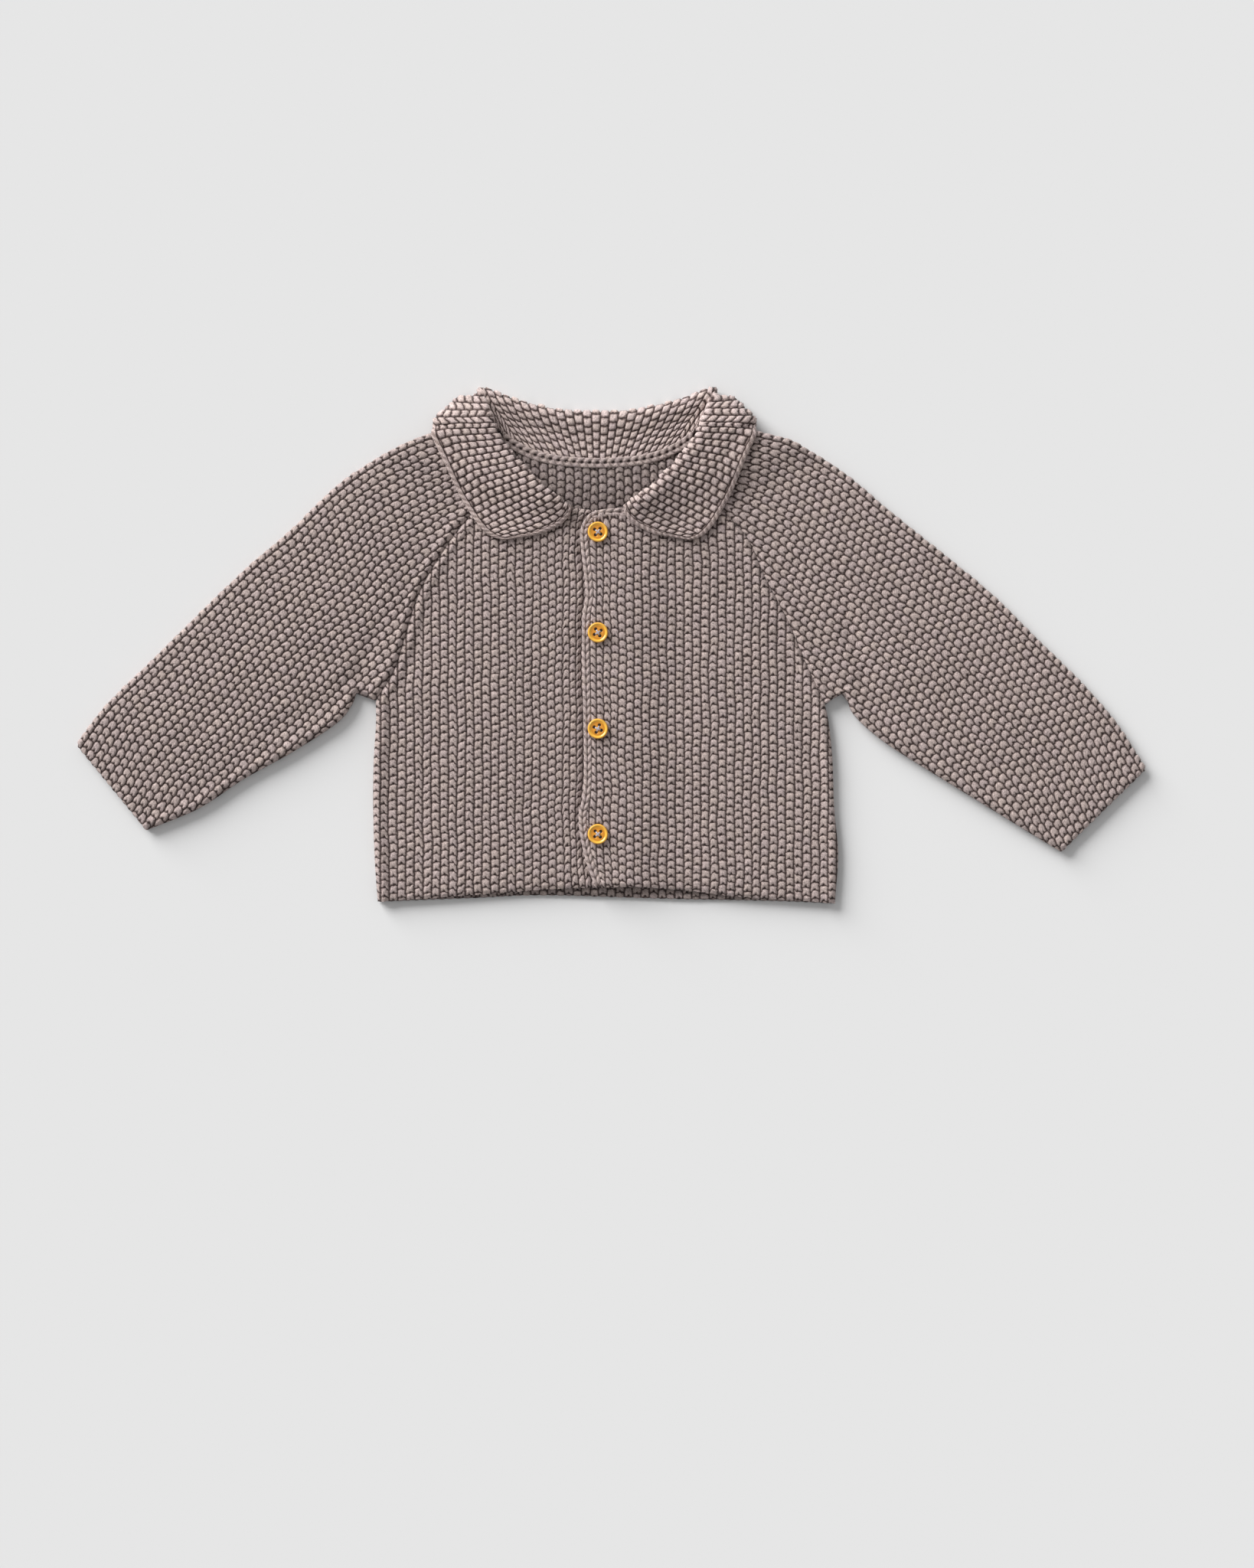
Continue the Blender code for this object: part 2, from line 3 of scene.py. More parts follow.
import bmesh
import bpy
import numpy as np
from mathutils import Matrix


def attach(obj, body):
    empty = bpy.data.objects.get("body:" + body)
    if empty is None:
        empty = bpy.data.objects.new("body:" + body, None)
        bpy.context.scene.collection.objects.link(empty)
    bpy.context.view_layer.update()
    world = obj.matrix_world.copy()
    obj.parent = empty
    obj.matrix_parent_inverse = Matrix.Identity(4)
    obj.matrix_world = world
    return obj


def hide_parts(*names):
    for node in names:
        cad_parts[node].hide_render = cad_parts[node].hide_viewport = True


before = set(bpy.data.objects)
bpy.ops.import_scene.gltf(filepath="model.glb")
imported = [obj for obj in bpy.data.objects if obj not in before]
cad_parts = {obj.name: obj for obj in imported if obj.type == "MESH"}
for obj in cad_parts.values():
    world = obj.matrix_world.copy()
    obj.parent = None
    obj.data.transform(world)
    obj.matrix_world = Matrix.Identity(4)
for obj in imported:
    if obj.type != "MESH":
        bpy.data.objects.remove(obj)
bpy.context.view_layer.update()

MM = 0.001

# ---------------------------------------------------------------- Table, light and camera
# The cardigan lies face up on a plain pale table, seen from straight above, in wide soft light
# that comes from the wearer's upper right.
TABLE_HALF = 40.0
TABLE_DROP = 0.0002  # it lies this far below the cloth
TABLE_GREY = 0.80
VIEW_HEIGHT = 0.8806
VIEW_MIDDLE = (0.0088, -0.0776)
LENS, SENSOR = 85.0, 36.0
SUN_TILT, SUN_TURN, SUN_SPREAD = 66.0, -47.0, 40.0
SUN_POWER, SKY_POWER = 4.5, 0.405


def principled(name):
    """A new material, its node tree and its shader."""
    made = bpy.data.materials.new(name)
    made.use_nodes = True
    return made, made.node_tree, made.node_tree.nodes["Principled BSDF"]


def in_scene(name, shape, finish):
    """The object made from a bmesh, which it uses up."""
    mesh = bpy.data.meshes.new(name)
    shape.to_mesh(mesh)
    shape.free()
    mesh.shade_smooth()
    mesh.materials.append(finish)
    made = bpy.data.objects.new(name, mesh)
    bpy.context.scene.collection.objects.link(made)
    return made


table_paint, _, table_shader = principled("table_paint")
table_shader.inputs["Base Color"].default_value = (TABLE_GREY, TABLE_GREY, TABLE_GREY, 1)
table_shader.inputs["Roughness"].default_value = 0.9
table_shader.inputs["Specular IOR Level"].default_value = 0.1
table_shape = bmesh.new()
bmesh.ops.create_grid(table_shape, x_segments=1, y_segments=1, size=TABLE_HALF)
bmesh.ops.translate(table_shape, verts=table_shape.verts, vec=(0, 0, -TABLE_DROP))
in_scene("table", table_shape, table_paint)

sky = bpy.data.worlds.new("studio")
sky.use_nodes = True
sky.node_tree.nodes["Background"].inputs["Color"].default_value = (1, 1, 1, 1)
sky.node_tree.nodes["Background"].inputs["Strength"].default_value = SKY_POWER
bpy.context.scene.world = sky
sun = bpy.data.objects.new("window", bpy.data.lights.new("window", "SUN"))
sun.data.energy = SUN_POWER
sun.data.angle = math.radians(SUN_SPREAD)
sun.rotation_euler = (0.0, math.radians(-SUN_TILT), math.radians(SUN_TURN))
bpy.context.scene.collection.objects.link(sun)

camera = bpy.data.objects.new("camera", bpy.data.cameras.new("camera"))
camera.data.lens = LENS
camera.data.sensor_width = SENSOR
camera.location = (*VIEW_MIDDLE, VIEW_HEIGHT * LENS / SENSOR)
bpy.context.scene.collection.objects.link(camera)
bpy.context.scene.camera = camera
bpy.context.scene.view_settings.view_transform = "Standard"

# ---------------------------------------------------------------- Back
# The back is one panel of chunky moss stitch, from the hem to the back neck, with raglan
# armholes.  It lies on the table; its inside shows in the neck and just under the front hem.
# Sizes are in mm, and the tables' points are (x, y) on the table.
CLOTH = 2.4
LAYER = CLOTH + 0.4  # from the underside of a layer to that of the next one
COLUMN, NUB = 4.75, 4.7  # width of a column of stitches, and height of one nub in it
WAVE = 0.05  # how far, in columns, the sides of a nub swell out
SLIP, SLIP_WAVE = 0.30, 0.05  # how far, in rows, columns lie out of level
ARCH = 0.13  # how far, in nubs, the middle of a nub stands above its sides
PROUD = 0.32  # how far the nubs stand out of the wall
RELIEF = 0.95  # from the top of a nub to the groove between two
UNLIKE = 0.3  # how unlike each other the nubs are in height
NOTCH = (0.12, 0.12, 0.2)  # of the notch at a nub's foot: half width, place, half length
NOTCH_DRAWN = (0.13, 0.1, 0.2)
EDGE_RUN = 1.6  # the wall rounds off over this width
ROUND_UP, ROUND_DOWN, ROUND_INSIDE = 0.9, 0.8, 0.5  # how far each face rounds off
SHOW_RUN = 0.9  # the relief fades in over this width
FADE_RUN = 8.0  # the wander of the stitches fades in over this width
COLLAR_MIDDLE = -7.7  # its x
FALL_EDGE, FALL_BEND = 93.0, 0.0023  # the edge of the collar that lies under the back
LIFT_START, LIFT_RUN = 27.0, 23.0  # before that edge the back starts to rise, over this run
WANDER, FUZZ, DRIFT = 620.0, 1900.0, 26.0  # scales of the stitches' wander, the fibres and the tone
# Colours of a nub's top, and the painted shade on its slope and in the grooves between nubs.
YARN = (0.432, 0.353, 0.333)
SLOPE_SHADE = (0.190, 0.143, 0.132)
GROOVE_SHADE = (0.030, 0.017, 0.015)
SIDE_RIGHT = [(-130.9, -143.4), (-132.6, -120.0), (-133.5, -90.0), (-133.2, -65.0),
              (-131.9, -44.0), (-132.0, -31.0)]
SIDE_LEFT = [(125.3, -144.3), (127.1, -117.0), (124.9, -91.0), (124.0, -65.0), (122.2, -46.0), (119.8, -33.0)]
RAGLAN_BACK_RIGHT = [(-132.0, -31.0), (-104.5, 20.0), (-69.0, 80.0), (-50.0, 110.4)]
RAGLAN_BACK_LEFT = [(119.8, -33.0), (92.0, 20.0), (54.5, 80.0), (35.0, 110.0)]
HEM_BACK = [(-130.9, -143.4), (-77.0, -141.3), (-38.0, -139.8), (30.0, -141.7), (91.0, -143.0),
            (125.3, -144.3)]
NECK_BACK = [(-50.0, 110.4), (-38.0, 105.9), (-7.7, 103.0), (22.0, 105.0), (35.0, 110.0)]


def smooth_step(t):
    """A soft rise from 0 to 1 as t goes from 0 to 1."""
    t = np.clip(t, 0.0, 1.0)
    return t * t * (3.0 - 2.0 * t)


def through(rows, at, keys=None):
    """Values on a smooth curve through the rows, at the given places among the keys."""
    rows = np.asarray(rows, float)
    keys = np.arange(len(rows)) if keys is None else np.asarray(keys, float)
    slope = np.gradient(rows, keys, axis=0)
    at = np.clip(np.atleast_1d(at), keys[0], keys[-1])
    i = np.clip(np.searchsorted(keys, at, side="right") - 1, 0, len(keys) - 2)
    span = (keys[i + 1] - keys[i])[:, None]
    t = (at - keys[i])[:, None] / span
    start = (1 + 2 * t) * (1 - t) ** 2 * rows[i] + t * (1 - t) ** 2 * span * slope[i]
    end = t * t * (3 - 2 * t) * rows[i + 1] + t * t * (t - 1) * span * slope[i + 1]
    return start + end


def side_line(*stretches):
    """x of a side edge at each y, for an edge given as stretches of (x, y) from low to high."""
    points = [through(np.array(s, float), np.linspace(0, len(s) - 1, 60)) for s in stretches]
    points = np.concatenate(points)
    order = np.argsort(points[:, 1], kind="stable")
    return lambda y: np.interp(y, points[order, 1], points[order, 0])


def cross_line(points):
    """y of a hem or neck edge at each x."""
    points = through(np.array(points, float), np.linspace(0, len(points) - 1, 90))
    order = np.argsort(points[:, 0], kind="stable")
    return lambda x: np.interp(x, points[order, 0], points[order, 1])


def lift(x, y):
    """How far the collar that lies under the back raises the cloth above it."""
    fall_edge = FALL_EDGE + FALL_BEND * (x - COLLAR_MIDDLE) ** 2
    return LAYER * smooth_step((y - fall_edge + LIFT_START) / LIFT_RUN)


def chance(a, b, seed):
    """A fixed random number from 0 to 1 for each pair of whole numbers."""
    mixed = np.sin(a * 12.9898 + b * 78.233 + seed * 37.719) * 43758.5453
    return mixed - np.floor(mixed)


def sway(a, b, seed, size):
    """A soft wandering value about 0, which changes over some stitches."""
    draw = np.random.default_rng(seed)
    total = 0.0
    for reach in (5.0, 9.0, 17.0):
        turn, start_a, start_b = draw.uniform(0, 2 * math.pi, 3)
        along = (a * math.cos(turn) + b * math.sin(turn)) * 2 * math.pi / reach
        across = (b * math.cos(turn) - a * math.sin(turn)) * 2 * math.pi / (reach * 1.4)
        total = total + np.sin(along + start_a) * np.cos(across + start_b)
    return total * size / 1.5


def uneven(column, row, seed):
    """How far each point moves sideways, in columns, and how much its row slips, in rows, so that
    the nubs push into the gaps of their neighbours and no two columns are level."""
    waves = WAVE * np.cos(math.pi * column) * np.cos(2 * math.pi * (row + 0.1))
    number = np.floor(column + 1e-6)
    slip = SLIP * (chance(number, 1.0, seed) - 0.5)
    slip = slip + SLIP_WAVE * np.sin(row * 1.9 + 6.28 * chance(number, 2.0, seed))
    return waves, slip


def moss(column, row, seed, arch=ARCH, notched=0.35, long_power=4.0):
    """Height of the moss stitch from 0 in the grooves to 1 on a nub; both coordinates count stitches.
    notched is the depth of the notch at a nub's foot, and a high long_power makes its ends square."""
    number = np.floor(column + 1e-6)
    a = column - number - 0.5
    raised = row + 0.5 * np.mod(number, 2) + arch * 4 * a * a
    nub = np.floor(raised + 1e-6)
    t = raised - nub
    across = 1 - np.abs(2 * a) ** 4.0
    along = 1 - np.abs(2 * t - 1) ** long_power
    notch = np.exp(-((a / NOTCH[0]) ** 2) - ((t - NOTCH[1]) / NOTCH[2]) ** 2)
    tall = 1 + UNLIKE * (chance(number, nub, seed) - 0.5)
    return np.clip(np.clip(across * along, 0, 1) ** 0.5 * tall - notched * notch, 0, 1.15)


def grid_of(shape, points, marks=None, layer=None):
    """A grid of faces through points in mm, with a mark for each, and its vertices row by row."""
    rows, columns = points.shape[:2]
    made = bmesh.ops.create_grid(shape, x_segments=columns - 1, y_segments=rows - 1, size=0.5)["verts"]
    for vert, place in zip(made, (points * MM).reshape(-1, 3).tolist()):
        vert.co = place
    if marks is not None:
        for vert, mark in zip(made, marks.reshape(-1, 3).tolist()):
            vert[layer] = mark
    return made, rows, columns


def outline(rows, columns):
    """The places (row, column) round the edge of a grid."""
    ring = [(0, j) for j in range(columns)] + [(i, columns - 1) for i in range(1, rows)]
    ring += [(rows - 1, j) for j in range(columns - 2, -1, -1)]
    return ring + [(i, 0) for i in range(rows - 2, 0, -1)]


def closed_wall(name, outer, inner, kept_rows, kept_columns, finish):
    """A wall of cloth from a fine outer face and a coarser inner one, joined by a rim.
    outer and inner are (points in mm, stitch coordinates); the inner face keeps only some of the
    outer one's rows and columns."""
    shape = bmesh.new()
    layer = shape.verts.layers.float_vector.new("stitch")
    fine, rows, columns = grid_of(shape, *outer, layer)
    coarse, few_rows, few_columns = grid_of(shape, *inner, layer)
    ring = outline(rows, columns)
    at = {place: k for k, place in enumerate(ring)}
    few = outline(few_rows, few_columns)
    for (i, j), (k, n) in zip(few, few[1:] + few[:1]):
        first = at[(kept_rows[i], kept_columns[j])]
        last = at[(kept_rows[k], kept_columns[n])]
        if last < first:
            last += len(ring)
        run = [ring[m % len(ring)] for m in range(first, last + 1)]
        corners = [fine[a * columns + b] for a, b in run]
        shape.faces.new(corners[::-1] + [coarse[i * few_columns + j], coarse[k * few_columns + n]])
    bmesh.ops.remove_doubles(shape, verts=shape.verts, dist=5e-6)
    bmesh.ops.dissolve_degenerate(shape, edges=shape.edges, dist=2e-6)
    bmesh.ops.recalc_face_normals(shape, faces=shape.faces)
    if shape.calc_volume(signed=True) < 0:
        bmesh.ops.reverse_faces(shape, faces=shape.faces)
    return in_scene(name, shape, finish)


def fine_and_kept(count, per_stitch, closer=(0, 0), closer_step=1):
    """Grid lines of a face, per_stitch to a stitch, and the ones that its inner face keeps: one to
    a stitch, and every closer_step-th line between the two stitches of closer."""
    lines = np.arange(count * per_stitch + 1)
    kept = [k for k in lines if k % per_stitch == 0
            or (closer[0] * per_stitch <= k <= closer[1] * per_stitch and k % closer_step == 0)]
    return lines / per_stitch, np.array(kept)


def flat_panel(name, finish, seed, sides, hem, neck, start, count, base, puff, face_up,
               closer=((0, 0), (0, 0)), per=(6, 6), dent=None, pull=None):
    """A panel that lies flat between its sides, hem and neck.  start and count set the grid of
    stitches from its lower left, with per lines to a stitch.  base(x, y) is the height of its lower
    face, puff how far its middle stands up, and face_up says which face has the stitches; closer is
    where the other one has them too.  dent(x, y) lowers the face, and pull(x, y) shifts stitches."""
    left, right = sides
    start_x, start_y = start
    columns, kept_columns = fine_and_kept(count[0], per[0], closer[0], 2)
    rows, kept_rows = fine_and_kept(count[1], per[1], closer[1], 2)

    def face(column_at, row_at, shows):
        column, row = np.meshgrid(column_at, row_at)
        x = start_x + column * COLUMN
        y = start_y + row * NUB
        y = np.clip(y, hem(x) - 0.4 * np.abs(np.sin(math.pi * column)), neck(x))
        low, high = left(y), right(y)
        x = np.clip(x, low, high)
        side_gap = np.minimum(x - low, high - x)
        end_gap = np.minimum(y - hem(x), neck(x) - y)
        inside = np.clip(np.minimum(side_gap, end_gap), 0, None)
        column, row = (x - start_x) / COLUMN, (y - start_y) / NUB
        fade = smooth_step(inside / FADE_RUN)
        waves, slip = uneven(column, row, seed)
        row = row + slip
        if pull:
            aside, upward = pull(x, y)
            column, row = column + aside, row + upward
        height = moss(column, row, seed)
        rounding = 1 - smooth_step(inside / EDGE_RUN)
        u = np.clip((x - low) / np.maximum(high - low, 1), 0, 1)
        swell = puff * np.sin(math.pi * np.clip((u - 0.08) / 0.84, 0, 1)) * fade
        bottom = base(x, y) + swell
        top = bottom + CLOTH
        show = np.clip(inside / SHOW_RUN, 0, 1)
        if shows and face_up:
            z = top + (PROUD - RELIEF * (1 - height)) * show - ROUND_UP * rounding
            if dent:
                z = z - dent(x, y)
        elif shows:
            z = bottom + RELIEF * (1 - height) * show + ROUND_DOWN * rounding
        elif face_up:
            z = bottom + ROUND_INSIDE * rounding
        else:
            z = top - ROUND_INSIDE * rounding
        if not shows and closer[0][1] > 0:
            near = np.isin(row_at, row_at[(row_at >= closer[1][0]) & (row_at <= closer[1][1])])[:, None]
            z = np.where(near & (inside > 1), z + PROUD - RELIEF * (1 - height), z)
        x = x + sway(column, row, seed, 0.45) * fade + waves * COLUMN * show
        y = y + sway(column, row, seed + 50, 0.4) * fade
        return np.dstack([x, y, z]), np.dstack([column, row, 0 * x])

    outer = face(columns, rows, True)
    inner = face(columns[kept_columns], rows[kept_rows], False)
    return closed_wall(name, outer, inner, kept_rows, kept_columns, finish)


def yarn_material(name, seed, arch=ARCH, notched=0.8, long_power=5.0, inside=1.0, gain=1.0):
    """Knitted yarn: its stitches are drawn from the piece's own stitch coordinates, the same as its
    relief, with fine plies, a tint for each nub, and painted shade on the nubs' slopes and in the
    grooves.  inside darkens faces that look up, as painted shade on the inside of the back where the
    collar and fronts shade it, and gain brightens the whole."""
    made, tree, shader = principled(name)
    nodes, links = tree.nodes, tree.links

    def fed(node, values):
        for slot, value in zip(node.inputs, values):
            if isinstance(value, (int, float)):
                slot.default_value = value
            else:
                links.new(value, slot)
        return node.outputs[0]

    def calc(kind, *values, clamp=False):
        node = nodes.new("ShaderNodeMath")
        node.operation = kind
        node.use_clamp = clamp
        return fed(node, values)

    def joined(*values):
        return fed(nodes.new("ShaderNodeCombineXYZ"), values)

    def noise(scale, detail, vector):
        node = nodes.new("ShaderNodeTexNoise")
        node.inputs["Scale"].default_value = scale
        node.inputs["Detail"].default_value = detail
        links.new(vector, node.inputs["Vector"])
        return node

    def about_middle(value, size):
        return calc("MULTIPLY", calc("SUBTRACT", value, 0.5), size)

    def bell(value, middle, width):
        away = calc("ABSOLUTE", calc("SUBTRACT", value, middle))
        return calc("POWER", calc("DIVIDE", away, width), 2.0)

    mark = nodes.new("ShaderNodeAttribute")
    mark.attribute_name = "stitch"
    apart = nodes.new("ShaderNodeSeparateXYZ")
    links.new(mark.outputs["Vector"], apart.inputs[0])
    column, row, shown = apart.outputs
    place = nodes.new("ShaderNodeTexCoord").outputs["Object"]
    astray = nodes.new("ShaderNodeSeparateXYZ")
    links.new(noise(WANDER, 2.0, place).outputs["Color"], astray.inputs[0])
    column = calc("ADD", column, about_middle(astray.outputs[0], 0.22))
    row = calc("ADD", row, about_middle(astray.outputs[1], 0.34))
    number = calc("FLOOR", column)
    a = calc("SUBTRACT", calc("FRACT", column), 0.5)
    bend = calc("MULTIPLY", calc("MULTIPLY", a, a), 4 * arch)
    odd = calc("MULTIPLY", calc("PINGPONG", number, 1.0), 0.5)
    raised = calc("ADD", calc("ADD", row, odd), bend)
    nub = calc("FLOOR", raised)
    t = calc("FRACT", raised)
    across = calc("SUBTRACT", 1.0, calc("POWER", calc("ABSOLUTE", calc("MULTIPLY", a, 2.0)), 4.0))
    from_middle = calc("ABSOLUTE", calc("SUBTRACT", calc("MULTIPLY", t, 2.0), 1.0))
    along = calc("SUBTRACT", 1.0, calc("POWER", from_middle, long_power))
    height = calc("MULTIPLY", across, along, clamp=True)
    notch = calc("ADD", bell(a, 0.0, NOTCH_DRAWN[0]), bell(t, NOTCH_DRAWN[1], NOTCH_DRAWN[2]))
    notch = calc("POWER", 2.718, calc("MULTIPLY", notch, -1.0))
    height = calc("SUBTRACT", height, calc("MULTIPLY", notch, notched), clamp=True)

    tint = nodes.new("ShaderNodeTexWhiteNoise")
    tint.noise_dimensions = "3D"
    links.new(joined(calc("ADD", number, 0.5), calc("ADD", nub, 0.5), float(seed)), tint.inputs["Vector"])
    slanted = calc("ADD", calc("MULTIPLY", raised, 8.0), calc("MULTIPLY", a, 7.0))
    plies = noise(1.0, 3.0, joined(calc("MULTIPLY", column, 2.6), slanted, float(seed))).outputs["Fac"]
    fuzz = noise(FUZZ, 2.0, place).outputs["Fac"]
    drift = noise(DRIFT, 2.0, place).outputs["Fac"]

    band = calc("MULTIPLY", shown, 1.0, clamp=True)
    chain = calc("SUBTRACT", shown, 1.0, clamp=True)
    height = calc("ADD", calc("MULTIPLY", height, calc("SUBTRACT", 1.0, band)), calc("MULTIPLY", chain, band))
    # Painted shade: the ramp darkens the low parts of the stitch height, the nubs' slopes, foot notches and
    # the grooves between them, and the deep parts of the chains.
    shade = nodes.new("ShaderNodeValToRGB")
    steps = shade.color_ramp.elements
    steps[0].position, steps[0].color = 0.14, (*GROOVE_SHADE, 1)
    steps[1].position, steps[1].color = 0.88, (*YARN, 1)
    middle = steps.new(0.50)
    middle.color = (*SLOPE_SHADE, 1)
    links.new(height, shade.inputs["Fac"])
    bright = calc("ADD", 0.96, calc("MULTIPLY", tint.outputs["Value"], 0.10))
    for value, size in ((plies, 1.50), (fuzz, 1.90), (drift, 0.16)):
        bright = calc("ADD", bright, about_middle(value, size))
    warm = nodes.new("ShaderNodeMix")
    warm.data_type = "RGBA"
    warm.inputs["A"].default_value = (1.0, 0.985, 1.01, 1)
    warm.inputs["B"].default_value = (1.01, 1.0, 0.965, 1)
    links.new(tint.outputs["Color"], warm.inputs["Factor"])
    tinted = nodes.new("ShaderNodeVectorMath")
    tinted.operation = "MULTIPLY"
    links.new(shade.outputs["Color"], tinted.inputs[0])
    links.new(warm.outputs["Result"], tinted.inputs[1])
    lit = nodes.new("ShaderNodeVectorMath")
    lit.operation = "SCALE"
    links.new(tinted.outputs[0], lit.inputs[0])
    # Painted shade: faces that look up lose (1 - inside) of their brightness, which darkens the back's inner
    # face in the neck and under the front hem, where the collar and fronts shade it.
    surface = nodes.new("ShaderNodeNewGeometry")
    facing = nodes.new("ShaderNodeSeparateXYZ")
    links.new(surface.outputs["Normal"], facing.inputs[0])
    upward = calc("GREATER_THAN", facing.outputs["Z"], 0.0)
    bright = calc("MULTIPLY", bright, calc("SUBTRACT", 1.0, calc("MULTIPLY", upward, 1.0 - inside)))
    links.new(calc("MULTIPLY", bright, gain), lit.inputs["Scale"])
    links.new(lit.outputs[0], shader.inputs["Base Color"])

    strands = calc("ADD", calc("MULTIPLY", height, 0.7), calc("MULTIPLY", plies, 0.5))
    strands = calc("ADD", strands, calc("MULTIPLY", fuzz, 0.25))
    bump = nodes.new("ShaderNodeBump")
    bump.inputs["Strength"].default_value = 0.7
    bump.inputs["Distance"].default_value = 0.0004
    links.new(strands, bump.inputs["Height"])
    links.new(bump.outputs["Normal"], shader.inputs["Normal"])
    rough = calc("ADD", 0.78, calc("MULTIPLY", fuzz, 0.2))
    links.new(rough, shader.inputs["Roughness"])
    shader.inputs["Specular IOR Level"].default_value = 0.2
    shader.inputs["Sheen Weight"].default_value = 0.15
    shader.inputs["Sheen Roughness"].default_value = 0.6
    return made


# The back's yarn paints shade on its inner, upward face (inside=0.72).
back = flat_panel(
    "back_panel", yarn_material("back_yarn_painted_shade", 1, inside=0.72), 11,
    sides=(side_line(SIDE_RIGHT, RAGLAN_BACK_RIGHT), side_line(SIDE_LEFT, RAGLAN_BACK_LEFT)),
    hem=cross_line(HEM_BACK), neck=cross_line(NECK_BACK), start=(-135.4, -146.0), count=(56, 55),
    base=lift, puff=0.0, face_up=False, closer=((15, 39), (44, 55)), per=(5, 6))
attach(back, "root")
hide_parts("back")

# ---------------------------------------------------------------- Fronts
# Two panels of the same stitch lie on the back.  The wearer's left one laps over the other by
# about 17 mm, so its edge climbs onto it.
RAGLAN_FRONT_RIGHT = [(-132.0, -31.0), (-121.7, -13.5), (-115.6, 5.4), (-107.3, 30.7), (-92.8, 55.3),
                      (-78.9, 73.3), (-60.0, 95.0)]
RAGLAN_FRONT_LEFT = [(119.8, -33.0), (109.0, -9.9), (98.4, 15.0), (86.2, 38.0), (77.0, 59.0),
                     (65.1, 72.9), (45.0, 95.5)]
HEM_FRONT_RIGHT = [(-130.9, -143.4), (-90.0, -140.6), (-42.4, -137.0), (-16.6, -135.7), (2.0, -135.6)]
HEM_FRONT_LEFT = [(-3.9, -135.2), (17.8, -135.2), (43.6, -137.4), (69.4, -140.4), (100.0, -142.6),
                  (125.3, -144.3)]
NECK_FRONT_RIGHT = [(-60.0, 95.0), (-44.0, 85.5), (-28.6, 79.0), (-14.0, 76.2), (2.0, 75.6)]
NECK_FRONT_LEFT = [(-4.5, 75.4), (5.5, 75.8), (20.5, 81.3), (36.0, 89.6), (45.0, 95.5)]
LAP_EDGE = [(-9.2, -135.2), (-15.3, -116.7), (-18.2, -96.0), (-15.3, -73.3), (-16.4, 7.5),
            (-14.4, 30.0), (-17.4, 62.1), (-13.7, 71.8), (-9.8, 75.4)]
BODY_PUFF = 0.7
EDGING_WIDTH, EDGING_TUCK = 4.3, 0.6  # the chain covers this much of the panel's edge
UNDER_EDGE = 2.0  # x of the right front's own edge, under the lap
LAP_START, LAP_RUN = 6.5, 34.0  # the left front comes down from the right one over this run
PRESS, PRESS_MIDDLE, PRESS_WIDTH = 1.3, 0.6, 1.5  # the lap's edge presses the right front down
EDGE_PULL, EDGE_CROWD, EDGE_REACH = 2.1, 1.3, 12.0  # rows and columns of shift, and over what run
RIDGE_AT, RIDGE_WIDTH, RIDGE_HEIGHT = 3.6, 2.1, 0.9  # the puffed line beside a linked seam
FRONT_CREASES = [
    # x, y, turn, reach, width, depth
    (-112.0, -6.0, 72.0, 22.0, 5.0, 0.7),
    (-118.0, -44.0, 88.0, 30.0, 6.0, 0.5),
    (101.0, -10.0, 106.0, 24.0, 5.5, 0.8),
    (112.0, -50.0, 92.0, 26.0, 6.0, 0.5),
    (62.0, 40.0, 118.0, 20.0, 6.0, 0.4),
]
lap_edge = side_line(LAP_EDGE)
right_side, left_side = side_line(SIDE_RIGHT, RAGLAN_FRONT_RIGHT), side_line(SIDE_LEFT, RAGLAN_FRONT_LEFT)


def lap(x):
    """How far the edge of the right front raises the left one, which lies over it."""
    return LAYER * smooth_step((LAP_START + LAP_RUN - x) / LAP_RUN)


def seam_ridge(gap):
    """How much the cloth rises beside a linked seam, gap from it, where the decreases pile up."""
    return RIDGE_HEIGHT * np.exp(-((gap - RIDGE_AT) / RIDGE_WIDTH) ** 2)


def creased(x, y, creases):
    """How deep the soft troughs of a table lie at a place; a ridge is a trough below 0."""
    deep = 0 * x
    for middle_x, middle_y, turn, reach, width, depth in creases:
        turn = math.radians(turn)
        along = (x - middle_x) * math.cos(turn) + (y - middle_y) * math.sin(turn)
        across = (y - middle_y) * math.cos(turn) - (x - middle_x) * math.sin(turn)
        deep = deep + depth * np.exp(-(along / reach) ** 2 - (across / width) ** 2)
    return deep


def beside_edge(x, y):
    """How many columns and rows the stitches shift where the button edge draws them in and up."""
    away = x - lap_edge(y)
    drawn = 1 - np.exp(-np.abs(away) / EDGE_REACH)
    return EDGE_CROWD * np.sign(away) * drawn, EDGE_PULL * drawn


def right_dent(x, y):
    """How far the right front's face sinks: beside the lap's edge, in its creases, not on its ridge."""
    pressed = PRESS * np.exp(-((x - lap_edge(y) + PRESS_MIDDLE) / PRESS_WIDTH) ** 2)
    return pressed + creased(x, y, FRONT_CREASES) - seam_ridge(x - right_side(y))


def left_dent(x, y):
    """How far the left front's face sinks: in its creases, not on its ridge."""
    return creased(x, y, FRONT_CREASES) - seam_ridge(left_side(y) - x)


